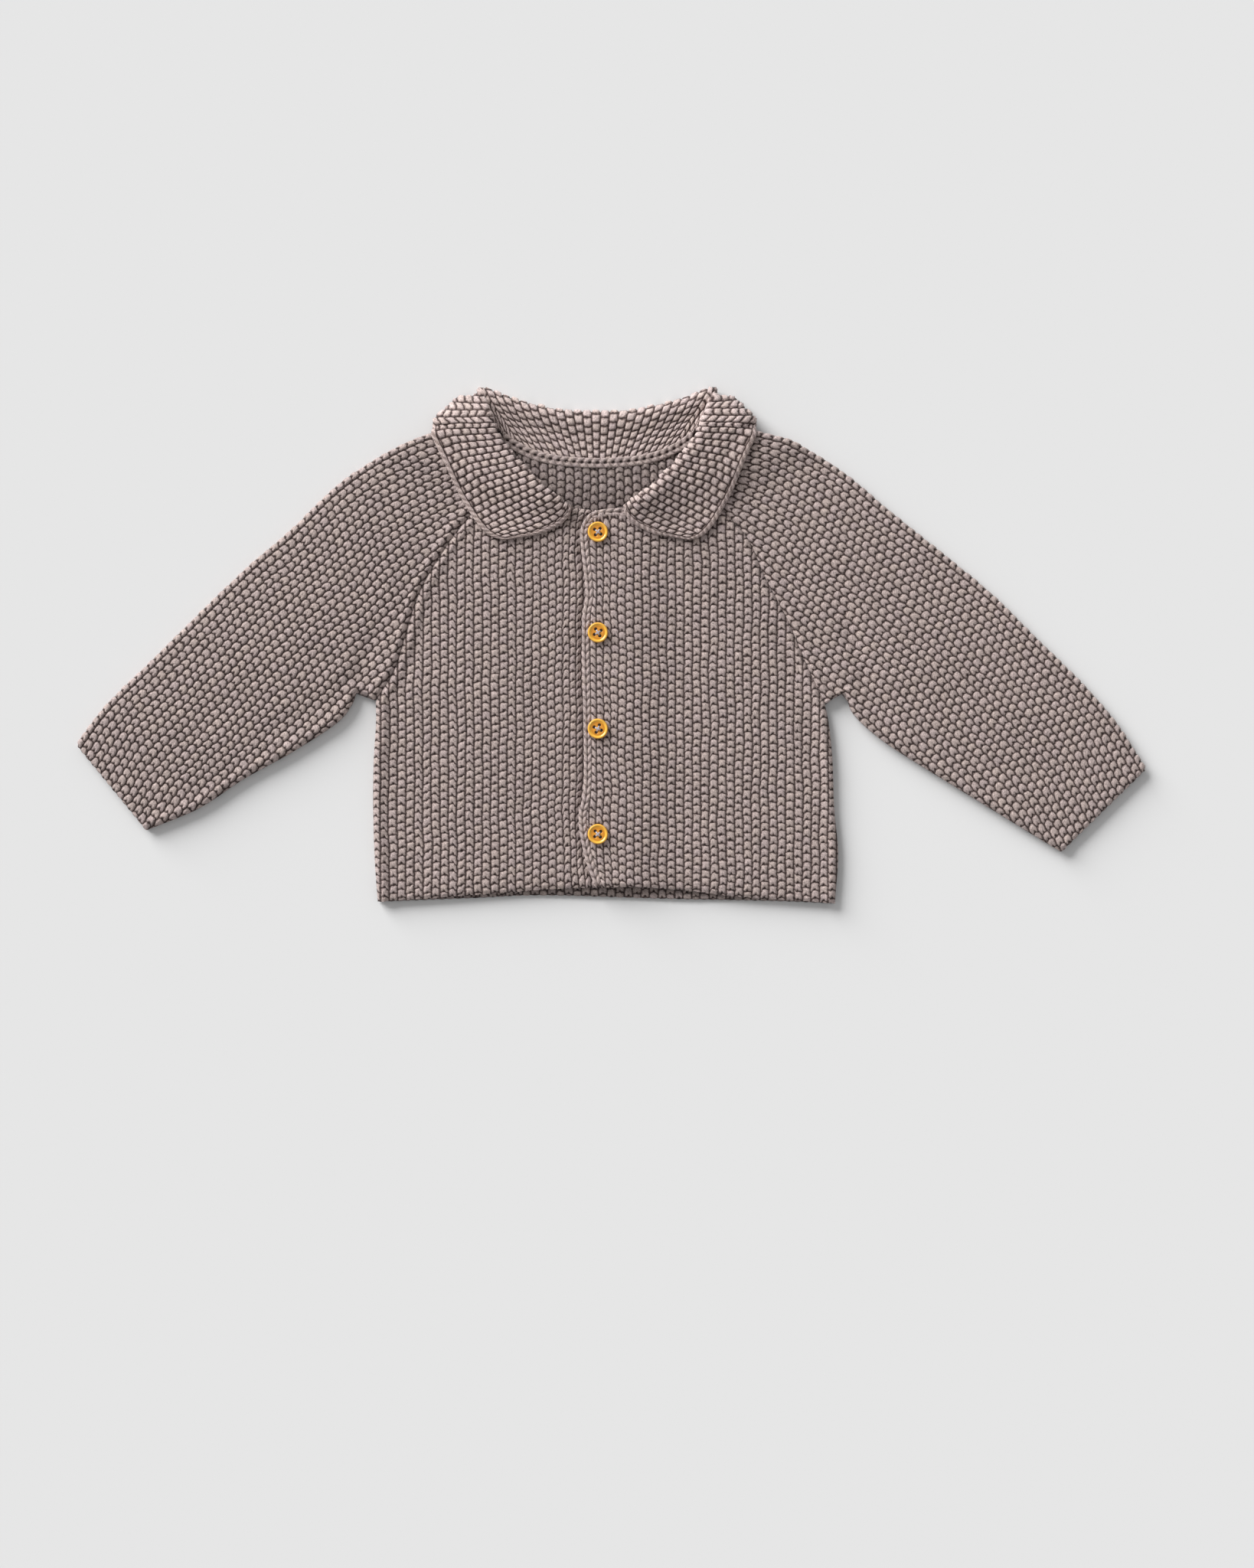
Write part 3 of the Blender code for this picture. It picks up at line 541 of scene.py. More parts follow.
front_right = flat_panel(
    "right_front", yarn_material("right_front_yarn", 2), 22,
    sides=(right_side, lambda y: UNDER_EDGE + 0.0 * y), hem=cross_line(HEM_FRONT_RIGHT),
    neck=cross_line(NECK_FRONT_RIGHT), start=(-135.4, -145.0), count=(29, 52),
    base=lambda x, y: LAYER + lift(x, y), puff=BODY_PUFF, face_up=True, dent=right_dent, pull=beside_edge)
front_left = flat_panel(
    "left_front", yarn_material("left_front_yarn", 3), 33,
    sides=(lambda y: lap_edge(y) + EDGING_WIDTH - EDGING_TUCK, left_side), hem=cross_line(HEM_FRONT_LEFT),
    neck=cross_line(NECK_FRONT_LEFT), start=(-14.9, -146.0), count=(30, 52),
    base=lambda x, y: LAYER + lift(x, y) + lap(x), puff=BODY_PUFF, face_up=True, dent=left_dent,
    pull=beside_edge)
for panel, node in ((front_right, "front_right"), (front_left, "front_left")):
    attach(panel, "root")
    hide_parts(node)

# ---------------------------------------------------------------- Sleeves
# Each raglan sleeve is knitted from the cuff up in the same stitch, closed by one seam under the
# arm, and lies folded flat along its top edge, a little fuller than the body.
TUBE = (LAYER + CLOTH) / 2  # half the height of the flattened tube
SLEEVE_COLUMN, SLEEVE_NUB = 4.55, 5.0
SLEEVE_LENGTH, SLEEVE_REACH = 290.0, 108.0  # its cut length, and from fold to underarm at most
SLEEVE_ROWS, ROWS_BELOW = 61, 1.6  # rows of the grid, and how many of them start below the cuff
SLEEVE_PUFF = 1.6
SEAM = 0.5  # between the edges that meet at the back raglan seam
LINKED = 0.1  # between the front edges, which the linking pulls together
FOLD_RIGHT = [(-299.6, -55.5), (-283.2, -33.8), (-257.4, -8.4), (-205.8, 41.9), (-180.0, 63.9),
              (-154.2, 88.8), (-128.4, 106.4), (-102.6, 118.0), (-88.0, 120.8), (-75.5, 120.3)]
FOLD_LEFT = [(299.6, -69.0), (275.8, -34.6), (232.8, 9.2), (207.0, 33.8), (155.4, 75.5), (129.6, 97.0),
             (103.8, 112.9), (90.9, 117.2), (75.0, 120.6), (60.0, 120.3)]
UNDERARM_RIGHT = [(-260.4, -103.4), (-231.6, -91.4), (-205.8, -74.6), (-180.0, -60.4), (-154.2, -43.6),
                  (-145.6, -33.3), (-141.7, -25.2), (-132.6, -30.6)]
UNDERARM_LEFT = [(252.0, -115.5), (232.8, -103.8), (207.0, -87.9), (164.0, -61.3), (146.8, -49.2),
                 (135.5, -38.0), (130.1, -27.3), (120.4, -32.6)]
SLEEVE_NECK_FRONT = [(0.0, 0.0), (5.5, -4.5), (8.0, -14.0), (15.5, -25.0)]
SLEEVE_CREASES = [
    # x, y, turn, reach, width, depth
    (-137.0, -4.0, 66.0, 20.0, 5.5, 1.3),
    (-152.0, -14.0, 36.0, 16.0, 5.0, -0.6),
    (-176.0, -40.0, 28.0, 24.0, 5.0, 0.6),
    (-236.0, -52.0, 50.0, 30.0, 9.0, 0.5),
    (136.0, 0.0, 114.0, 22.0, 6.0, 1.4),
    (152.0, -34.0, 146.0, 26.0, 5.0, 0.9),
    (172.0, -18.0, 140.0, 24.0, 7.0, -0.5),
    (236.0, -66.0, 130.0, 30.0, 9.0, 0.5),
]


def sleeve(name, finish, seed, side, towards, fold, underarm, raglan_front, raglan_back):
    """One wall round the flattened tube.  a runs up the arm from the cuff, towards that angle; s runs
    round the tube from the folded edge, below 0 on the lower layer and above 0 on the one on top."""
    origin = np.array(fold[0])
    up = np.array((math.cos(math.radians(towards)), math.sin(math.radians(towards))))
    over = np.array((up[1], -up[0])) * -side
    end = np.array(fold[-1])
    neck_points = [(end[0] - side * dx, end[1] + dy) for dx, dy in SLEEVE_NECK_FRONT]

    def measured(*stretches):
        points = [through(np.array(s, float), np.linspace(0, len(s) - 1, 80)) for s in stretches]
        points = np.concatenate(points) - origin
        places = np.column_stack([points @ up, points @ over])
        return places[np.argsort(places[:, 0], kind="stable")]

    def rail(*stretches):
        places = measured(*stretches)
        return lambda a: np.interp(a, places[:, 0], places[:, 1])

    seam_front = [(x + side * LINKED, y) for x, y in raglan_front]
    seam_back = [(x + side * SEAM, y) for x, y in raglan_back]
    fold_rail = rail(fold)
    front_rail, back_rail = rail(underarm, seam_front), rail(underarm, seam_back)

    def end_line(points):
        places = measured(points)
        depth = places[:, 1] - fold_rail(places[:, 0])
        order = np.argsort(depth, kind="stable")
        return lambda d: np.interp(d, depth[order], places[order, 0])

    cuff = end_line([fold[0], underarm[0]])
    neck_front = end_line([*neck_points[:3], seam_front[-1]])
    neck_back = end_line([tuple(end), seam_back[-1]])
    quarter = TUBE * math.pi / 2
    turns = int(np.ceil(SLEEVE_REACH / SLEEVE_COLUMN))
    columns, kept_columns = fine_and_kept(2 * turns, 6)
    rows, kept_rows = fine_and_kept(SLEEVE_ROWS, 6)

    def depth_at(s):
        return np.where(np.abs(s) < quarter, TUBE * (1 - np.cos(s / TUBE)), np.abs(s) - quarter + TUBE)

    def face(column_at, row_at, shows):
        s, a = np.meshgrid((column_at - turns) * SLEEVE_COLUMN, (row_at - ROWS_BELOW) * SLEEVE_NUB)
        top = s > 0
        depth = depth_at(s)
        high = np.where(top, neck_front(depth), neck_back(depth))
        a = np.clip(a, cuff(depth) - 0.5 * np.abs(np.sin(math.pi * s / SLEEVE_COLUMN)), high)
        width = np.where(top, front_rail(a), back_rail(a)) - fold_rail(a)
        s = np.sign(s) * np.minimum(np.abs(s), width - TUBE + quarter)
        depth = depth_at(s)
        inside = np.clip(np.minimum(width - depth, np.minimum(a - cuff(depth), high - a)), 0, None)
        column, row = s / SLEEVE_COLUMN + turns, a / SLEEVE_NUB
        waves, slip = uneven(column, row, seed)
        row = row + slip
        height = moss(column, row, seed)
        show = np.clip(inside / SHOW_RUN, 0, 1)
        rounding = 1 - smooth_step(inside / EDGE_RUN)
        proud = PROUD * smooth_step((np.sin(np.clip(s / TUBE, -1.57, 1.57)) + 0.6) / 1.2)
        inset = CLOTH - ROUND_INSIDE * rounding
        if shows:
            inset = (RELIEF * (1 - height) - proud) * show + ROUND_DOWN * rounding
        share = np.clip(depth / width, 0, 1)
        swell = SLEEVE_PUFF * np.sin(math.pi * np.clip(a / (0.9 * SLEEVE_LENGTH), 0, 1)) ** 0.7
        swell = swell * np.sin(math.pi * share) ** 0.8 * top
        angle = s / TUBE
        in_turn = np.abs(s) < quarter
        inset = inset - 0.8 * height * show * np.cos(np.clip(angle, -1.57, 1.57)) * in_turn * shows
        depth = np.where(in_turn, TUBE - (TUBE - inset) * np.cos(angle), depth)
        z = np.where(in_turn, TUBE + (TUBE - inset) * np.sin(angle), np.where(top, 2 * TUBE - inset, inset))
        fade = smooth_step(inside / FADE_RUN) * smooth_step((depth - TUBE) / FADE_RUN)
        a = a + sway(column, row, seed, 0.5) * fade
        across = waves * SLEEVE_COLUMN * show * smooth_step((depth - TUBE) / 3.0) * np.sign(s)
        b = fold_rail(a) + depth + sway(column, row, seed + 50, 0.5) * fade + across
        x = origin[0] + a * up[0] + b * over[0]
        y = origin[1] + a * up[1] + b * over[1]
        swell = swell + seam_ridge(width - depth) * top
        swell = swell - creased(x, y, SLEEVE_CREASES) * top * fade * (1.0 if shows else 0.4)
        z = np.maximum(z, 0.0) + swell + lift(x, y)
        return np.dstack([x, y, z]), np.dstack([column, row, 0 * x])

    outer = face(columns, rows, True)
    inner = face(columns[kept_columns], rows[kept_rows], False)
    return closed_wall(name, outer, inner, kept_rows, kept_columns, finish)


sleeve_right = sleeve("right_sleeve", yarn_material("right_sleeve_yarn", 4), 44, -1, 44.2, FOLD_RIGHT,
                      UNDERARM_RIGHT, RAGLAN_FRONT_RIGHT, RAGLAN_BACK_RIGHT)
sleeve_left = sleeve("left_sleeve", yarn_material("left_sleeve_yarn", 5), 55, 1, 136.3, FOLD_LEFT,
                     UNDERARM_LEFT, RAGLAN_FRONT_LEFT, RAGLAN_BACK_LEFT)
for piece, node in ((sleeve_right, "sleeve_right"), (sleeve_left, "sleeve_left")):
    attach(piece, "root")
    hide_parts(node)

# ---------------------------------------------------------------- Collar
# The collar is knitted on from the neck seam: a stand that rolls over, and a fall that turns down
# over the fronts and, behind, under the back.  Its ribs run from roll to edge, which a chain binds.
COLLAR = np.array([
    # neck x, y       roll x, y        turn x, y        edge x, y      reach on the wearer's left
    (-21.0, 77.4, -22.3, 77.6, -40.2, 64.7, -60.0, 58.9, 0.98),
    (-28.6, 79.9, -27.5, 80.3, -49.0, 68.2, -66.5, 60.7, 0.98),
    (-36.0, 82.6, -32.3, 83.5, -55.0, 72.5, -71.6, 64.4, 0.975),
    (-44.0, 86.2, -37.6, 87.5, -60.5, 77.8, -76.2, 69.8, 0.97),
    (-51.5, 90.8, -42.8, 92.7, -65.5, 84.3, -80.4, 76.3, 0.966),
    (-58.5, 96.3, -47.9, 98.0, -71.0, 91.5, -84.8, 83.8, 0.963),
    (-64.5, 102.6, -53.3, 104.0, -76.5, 99.0, -89.0, 92.5, 0.96),
    (-69.0, 109.0, -58.5, 109.9, -81.5, 106.3, -93.0, 101.3, 0.957),
    (-71.5, 114.8, -62.2, 115.3, -85.5, 113.5, -97.0, 109.6, 0.955),
    (-71.5, 119.5, -65.1, 120.4, -89.5, 120.0, -100.5, 117.8, 0.957),
    (-67.6, 122.4, -67.2, 126.0, -98.0, 125.8, -98.0, 122.4, 0.965),
    (-62.5, 119.5, -70.0, 131.5, -92.5, 131.5, -90.5, 123.0, 0.975),
    (-57.5, 115.9, -72.2, 138.0, -84.0, 138.6, -83.5, 117.0, 0.98),
    (-52.0, 112.3, -72.4, 143.8, -74.2, 131.0, -75.5, 109.0, 0.99),
    (-42.0, 107.8, -58.7, 138.8, -60.0, 124.0, -61.5, 102.5, 1.0),
    (-31.0, 105.2, -44.0, 134.4, -44.7, 119.8, -45.5, 98.3, 1.0),
    (-19.5, 104.0, -27.0, 131.2, -27.3, 116.8, -27.5, 95.5, 1.0),
    (-7.7, 103.5, -7.7, 130.2, -7.7, 115.8, -7.7, 94.2, 1.0),
])
COLLAR_LEVELS = np.array([
    # row, neck, stand, roll, fall, before turn, turn, edge
    (0.0, 7.1, 7.1, 7.15, 7.2, 7.1, 7.1, 7.1),
    (2.0, 7.1, 7.1, 8.5, 9.9, 7.8, 7.3, 7.1),
    (9.0, 7.1, 7.1, 8.7, 10.1, 8.8, 7.8, 7.2),
    (10.0, 4.8, 7.0, 9.4, 9.9, 7.2, 4.0, 1.4),
    (11.0, 2.6, 5.2, 8.8, 8.8, 5.6, 1.8, -1.4),
    (12.0, 1.5, 3.2, 5.6, 5.2, 2.4, 0.4, -1.6),
    (13.0, 1.2, 1.8, 1.2, -0.6, -1.6, -1.6, -1.6),
    (14.0, 1.2, 1.2, -0.2, -1.6, -1.6, -1.6, -1.6),
    (17.0, 1.2, 1.2, -0.2, -1.6, -1.6, -1.6, -1.6),
])
COLLAR_LAST = len(COLLAR) - 1
COLLAR_ROWS_ON_LAP = 6
ROLL_RADIUS, TURN_RUN = 1.4, 4.0
END_BOW, END_BOW_ROWS = 4.6, 2.5
END_BOW_WAY = (0.584, -0.81)
RIB, RIB_BEHIND, RIB_NUB = 4.04, 5.2, 4.8  # width of a rib in front and behind, height of its nubs
RIB_ARCH, RIB_POWER, RIB_SEED = 0.06, 2.9, 66
CHAIN_WIDTH = 3.2


def collar_sections(rows):
    """The middle of the collar's wall: a section for each row, from the neck seam to its edge."""
    side = np.where(rows > COLLAR_LAST, 1.0, -1.0)
    row = np.where(rows > COLLAR_LAST, 2 * COLLAR_LAST - rows, rows)
    table_rows = through(COLLAR, row)
    share = np.where(side > 0, table_rows[:, 8], 1.0)
    points = []
    for column in range(0, 8, 2):
        reach = share if column >= 4 else 1.0
        x = COLLAR_MIDDLE + side * np.abs(table_rows[:, column] - COLLAR_MIDDLE) * reach
        points.append(np.column_stack([x, table_rows[:, column + 1]]))
    neck, roll, turn, hem = points
    levels = [np.interp(row, COLLAR_LEVELS[:, 0], COLLAR_LEVELS[:, k]) for k in range(1, 8)]

    def towards(a, b, distance):
        way = b - a
        length = np.maximum(np.hypot(way[:, 0], way[:, 1]), 1e-6)[:, None]
        return a + way * np.minimum(distance / length, 0.5)

    stand = towards(roll, neck, ROLL_RADIUS)
    fall = towards(roll, turn, ROLL_RADIUS)
    before = towards(turn, roll, TURN_RUN)
    plan = [neck, 0.5 * (neck + stand), stand, roll, fall, 0.5 * (fall + before), before, turn,
            0.5 * (turn + hem), hem]
    bow = END_BOW * np.clip(1 - row / END_BOW_ROWS, 0, 1)[:, None] ** 2
    bow = bow * np.column_stack([-side * END_BOW_WAY[0], 0 * side + END_BOW_WAY[1]])
    for place, share_of_bow in ((4, 0.35), (5, 1.0), (6, 0.75), (7, 0.55), (8, 0.3)):
        plan[place] = plan[place] + bow * share_of_bow
    z = [levels[0], 0.5 * (levels[0] + levels[1]), levels[1], levels[2], levels[3]]
    z += [0.5 * (levels[3] + levels[4]), levels[4], levels[5], 0.5 * (levels[5] + levels[6]), levels[6]]
    on_lap = (side > 0) & (row < COLLAR_ROWS_ON_LAP)
    middle = []
    for p, h in zip(plan, z):
        middle.append(np.column_stack([p, h + lift(p[:, 0], p[:, 1]) + on_lap * lap(p[:, 0])]))
    return np.stack(middle, axis=1)


def collar():
    """The collar's wall, with ribs of moss stitch from its roll to its edge and a chain round it."""
    fine_rows = np.linspace(0, 2 * COLLAR_LAST, 700)
    middle_line = collar_sections(fine_rows)[:, 5, :2]
    wide = RIB + (RIB_BEHIND - RIB) * smooth_step((7 - np.abs(fine_rows[1:] - COLLAR_LAST)) / 4)
    reach = np.concatenate([[0], np.cumsum(np.hypot(*np.diff(middle_line, axis=0).T) / wide)])
    ribs = int(round(reach[-1]))
    per = 6
    columns, kept_columns = fine_and_kept(ribs, per)
    sections = collar_sections(np.interp(columns / ribs * reach[-1], reach, fine_rows))
    samples = 90
    dense = np.zeros((samples, len(columns), 3))
    distance = np.zeros((samples, len(columns)))
    for j, section in enumerate(sections):
        keys = np.concatenate([[0], np.cumsum(np.linalg.norm(np.diff(section, axis=0), axis=1))])
        line = through(section, np.linspace(0, keys[-1], samples), keys)[::-1]
        dense[:, j] = line
        distance[:, j] = np.concatenate([[0], np.cumsum(np.linalg.norm(np.diff(line, axis=0), axis=1))])
    normal = np.cross(np.gradient(dense, axis=0), np.gradient(dense, axis=1))
    normal /= np.maximum(np.linalg.norm(normal, axis=2, keepdims=True), 1e-9)
    rows, kept_rows = fine_and_kept(int(np.ceil(distance[-1].max() / RIB_NUB)), per)

    def face(column_at, row_at, shows):
        places = np.zeros((len(row_at), len(column_at), 3))
        faces = np.zeros_like(places)
        depth = np.zeros(places.shape[:2])
        whole = np.zeros(places.shape[:2])
        for j, k in enumerate(column_at):
            n = int(round(k * per))
            depth[:, j] = np.minimum(row_at * RIB_NUB, distance[-1, n])
            whole[:, j] = distance[-1, n]
            for axis in range(3):
                places[:, j, axis] = np.interp(depth[:, j], distance[:, n], dense[:, n, axis])
                faces[:, j, axis] = np.interp(depth[:, j], distance[:, n], normal[:, n, axis])
        faces /= np.maximum(np.linalg.norm(faces, axis=2, keepdims=True), 1e-9)
        column = np.broadcast_to(column_at, depth.shape)
        row = depth / RIB_NUB
        ends = np.minimum(column, ribs - column) * RIB
        inside = np.minimum(np.minimum(depth, whole - depth), ends)
        slip = uneven(column, row, RIB_SEED)[1]
        height = moss(column, row + slip, RIB_SEED, RIB_ARCH, 0.1, RIB_POWER)
        chain = 1 - smooth_step((np.minimum(depth, ends) - CHAIN_WIDTH + 0.6) / 0.8)
        strands = 0.5 + 0.5 * np.sin(2 * math.pi * (column * 1.1 + depth / 3.4))
        band = np.clip(1 - ((np.minimum(depth, ends) - 1.5) / 1.7) ** 2, 0, 1) ** 0.5
        band = (0.55 + 0.5 * band) * (0.7 + 0.35 * strands)
        height = height * (1 - chain) + band * chain
        show = np.clip(inside / SHOW_RUN, 0, 1)
        rounding = 1 - smooth_step(inside / EDGE_RUN)
        if shows:
            off = CLOTH / 2 + (PROUD - RELIEF * (1 - height)) * show - ROUND_INSIDE * rounding
            off = off + 0.7 * height * show * (1 - np.abs(faces[..., 2]))
        else:
            off = -CLOTH / 2 + ROUND_INSIDE * rounding
        places = places + faces * (np.ones_like(depth) * off)[..., None]
        places[..., 2] = np.maximum(places[..., 2], 0.0)
        return places, np.dstack([column, row + slip, chain * (1.45 + 0.5 * strands)])

    finish = yarn_material("collar_yarn", 6, arch=RIB_ARCH, notched=0.2, long_power=RIB_POWER, gain=1.27)
    outer = face(columns, rows, True)
    inner = face(columns[kept_columns], rows[kept_rows], False)
    return closed_wall("collar_knit", outer, inner, kept_rows, kept_columns, finish)


collar_piece = collar()
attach(collar_piece, "root")
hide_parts("collar")

# ---------------------------------------------------------------- Chain edging and neck binding
# One row of chain finishes the edge of the upper front and turns round above the top button.  Two
# rows of chain cover the back neck seam, with a small hole at each of their stitches.
BINDING_FIRST = 11.3  # the collar's section where the binding starts and, mirrored, ends
BINDING_WIDTH, BINDING_OUTSIDE, BINDING_THICK, BINDING_RISE = 5.6, 0.26, 1.4, 0.8
EDGING_THICK = 2.8
CHAIN_STITCH = 4.4  # length of one stitch of either chain
EDGING_TURN = [(-5.5, 75.9), (0.0, 76.5), (6.0, 76.9), (12.0, 78.6), (17.0, 80.6)]


def ribbon(name, path, across, low, thick, relief, finish):
    """A narrow band along a path, with the relief of its chain on its upper face.  across runs from
    one edge to the other, in mm to the left of the path as it goes."""
    steps = np.concatenate([[0], np.cumsum(np.hypot(*np.diff(path[:, :2], axis=0).T))])
    stitches = int(round(steps[-1] / CHAIN_STITCH))
    rows, kept_rows = fine_and_kept(stitches, 8, (0, stitches), 4)
    columns = np.linspace(0, 1, 17)
    kept_columns = np.arange(0, 17, 4)
    at = rows / stitches * steps[-1]
    line = np.column_stack([np.interp(at, steps, path[:, k]) for k in range(path.shape[1])])
    way = np.gradient(line[:, :2], axis=0)
    way /= np.hypot(way[:, 0], way[:, 1])[:, None]
    left = np.column_stack([-way[:, 1], way[:, 0]])

    def face(column_at, lines, shows):
        share, row = np.meshgrid(column_at, rows[lines])
        offset = across[0] + (across[1] - across[0]) * share
        x = line[lines, 0][:, None] + left[lines, 0][:, None] * offset
        y = line[lines, 1][:, None] + left[lines, 1][:, None] * offset
        base = low(x, y, line[lines])
        edge = np.minimum(share, 1 - share) * abs(across[1] - across[0])
        ends = np.minimum(row, stitches - row) * CHAIN_STITCH
        inside = np.minimum(edge, ends)
        crown = 1 - np.sqrt(np.clip(1 - (1 - np.clip(inside / 1.2, 0, 1)) ** 2, 0, 1))
        if shows:
            z = base + thick - 0.75 * crown - relief(share, row) * smooth_step(inside / 0.5)
        else:
            z = base + 0.3 * crown
        # The third stitch value carries the chain's depth, which the yarn's ramp draws as painted shade in
        # its holes and grooves.
        return np.dstack([x, y, z]), np.dstack([share * 1.5, row, 2 - np.clip(relief(share, row), 0, 1)])

    outer = face(columns, np.arange(len(rows)), True)
    inner = face(columns[kept_columns], kept_rows, False)
    return closed_wall(name, outer, inner, kept_rows, kept_columns, finish)


def single_chain(share, row):
    """Depth below its top of one row of chain: two plaited strands with a groove between."""
    w = 2 * share - 1
    loop = np.abs(np.sin(math.pi * (row - 0.45 * np.abs(w)))) ** 0.7
    return 0.6 * (1 - loop) + 0.35 * np.exp(-(w / 0.2) ** 2)


def double_chain(share, row):
    """Two rows of chain side by side with a row of holes between them."""
    w = np.abs(2 * share - 1)
    loop = np.abs(np.sin(math.pi * (row + 0.5 * (share > 0.5) - 0.4 * w))) ** 0.6
    hole = np.exp(-(w / 0.34) ** 2) * (0.5 + 0.5 * np.cos(2 * math.pi * row)) ** 2
    return 0.55 * (1 - loop) + 0.75 * hole + 0.3 * np.exp(-(w / 0.14) ** 2)


chain_yarn = yarn_material("chain_yarn", 7, gain=1.06)
binding_yarn = yarn_material("binding_yarn", 8, gain=0.92)
edge_line = np.array([*LAP_EDGE[:-1], (-10.6, 74.6)])
edge_path = through(edge_line, np.linspace(0, len(edge_line) - 1, 300))
turn_path = through(np.array([(-10.6, 74.6), *EDGING_TURN]), np.linspace(0, len(EDGING_TURN), 60))[1:]
front_path = np.concatenate([edge_path, turn_path])
edging = ribbon("front_chain", front_path, (0.0, -EDGING_WIDTH),
                lambda x, y, at: LAYER + lap(x) + lift(x, y), EDGING_THICK, single_chain, chain_yarn)
seam_line = collar_sections(np.linspace(BINDING_FIRST, 2 * COLLAR_LAST - BINDING_FIRST, 200))[:, 0, :]
binding = ribbon("neck_chain", seam_line,
                 (BINDING_OUTSIDE * BINDING_WIDTH, (BINDING_OUTSIDE - 1) * BINDING_WIDTH),
                 lambda x, y, at: np.broadcast_to(at[:, 2:3], x.shape) + BINDING_RISE,
                 BINDING_THICK, double_chain, binding_yarn)
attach(edging, "root")
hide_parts("front_edging")
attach(binding, "root")
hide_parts("neck_binding")

# ---------------------------------------------------------------- Buttons
# Four round resin buttons, amber with a brighter raised rim and four holes, are sewn to the upper
# front with a pale thread that crosses between the holes.
BUTTON_X = -7.5
BUTTON_Y = (63.4, 7.1, -46.7, -105.6)
BUTTON_RADIUS, BUTTON_HEIGHT, BUTTON_RIM, BUTTON_DISH = 5.7, 2.3, 1.1, 0.55
HOLE_RADIUS, HOLE_REACH, HOLE_DEPTH = 0.85, 2.2, 1.0
BUTTON_BASE = 3 * LAYER
BUTTON_TURNS = (8.0, -14.0, 21.0, -4.0)
THREAD_RADIUS, THREAD_APART, THREAD_INSET = 0.22, 0.2, 0.45
THREAD_RISE, THREAD_OVER, THREAD_DIP = 0.45, 0.25, 0.9


def amber_resin():
    """Clouded resin: a colour for each share of the radius, with a ring of painted shade just inside the rim,
    and holes painted dark as shade.
    """
    made, tree, shader = principled("amber_resin")
    nodes, links = tree.nodes, tree.links
    disc = nodes.new("ShaderNodeAttribute")
    disc.attribute_name = "disc"
    apart = nodes.new("ShaderNodeSeparateXYZ")
    links.new(disc.outputs["Vector"], apart.inputs[0])
    rings = nodes.new("ShaderNodeValToRGB")
    rings.color_ramp.elements[0].position = 0.0
    rings.color_ramp.elements[0].color = (0.76, 0.32, 0.032, 1)
    rings.color_ramp.elements[1].position = 1.0
    rings.color_ramp.elements[1].color = (0.82, 0.38, 0.04, 1)
    # The darker step at 0.62, just inside the rim, is a painted shade ring.
    for share, colour in ((0.50, (0.76, 0.31, 0.026, 1)), (0.62, (0.62, 0.23, 0.012, 1)),
                          (0.74, (0.92, 0.47, 0.040, 1)), (0.90, (0.96, 0.52, 0.07, 1))):
        rings.color_ramp.elements.new(share).color = colour
    links.new(apart.outputs[0], rings.inputs["Fac"])
    place = nodes.new("ShaderNodeTexCoord")
    cloud = nodes.new("ShaderNodeTexNoise")
    cloud.inputs["Scale"].default_value = 420.0
    cloud.inputs["Detail"].default_value = 3.0
    links.new(place.outputs["Object"], cloud.inputs["Vector"])
    # Painted shade: the holes, marked by the disc attribute's second value, are mixed to near black.
    pit = nodes.new("ShaderNodeMix")
    pit.data_type = "RGBA"
    pit.inputs["B"].default_value = (0.035, 0.014, 0.006, 1)
    links.new(apart.outputs[1], pit.inputs["Factor"])
    links.new(rings.outputs["Color"], pit.inputs["A"])
    clouded = nodes.new("ShaderNodeVectorMath")
    clouded.operation = "SCALE"
    links.new(pit.outputs["Result"], clouded.inputs[0])
    level = nodes.new("ShaderNodeMapRange")
    level.inputs["To Min"].default_value = 0.85
    level.inputs["To Max"].default_value = 1.12
    links.new(cloud.outputs["Fac"], level.inputs["Value"])
    links.new(level.outputs["Result"], clouded.inputs["Scale"])
    links.new(clouded.outputs[0], shader.inputs["Base Color"])
    shader.inputs["Roughness"].default_value = 0.3
    shader.inputs["Coat Weight"].default_value = 0.35
    shader.inputs["Coat Roughness"].default_value = 0.15
    return made


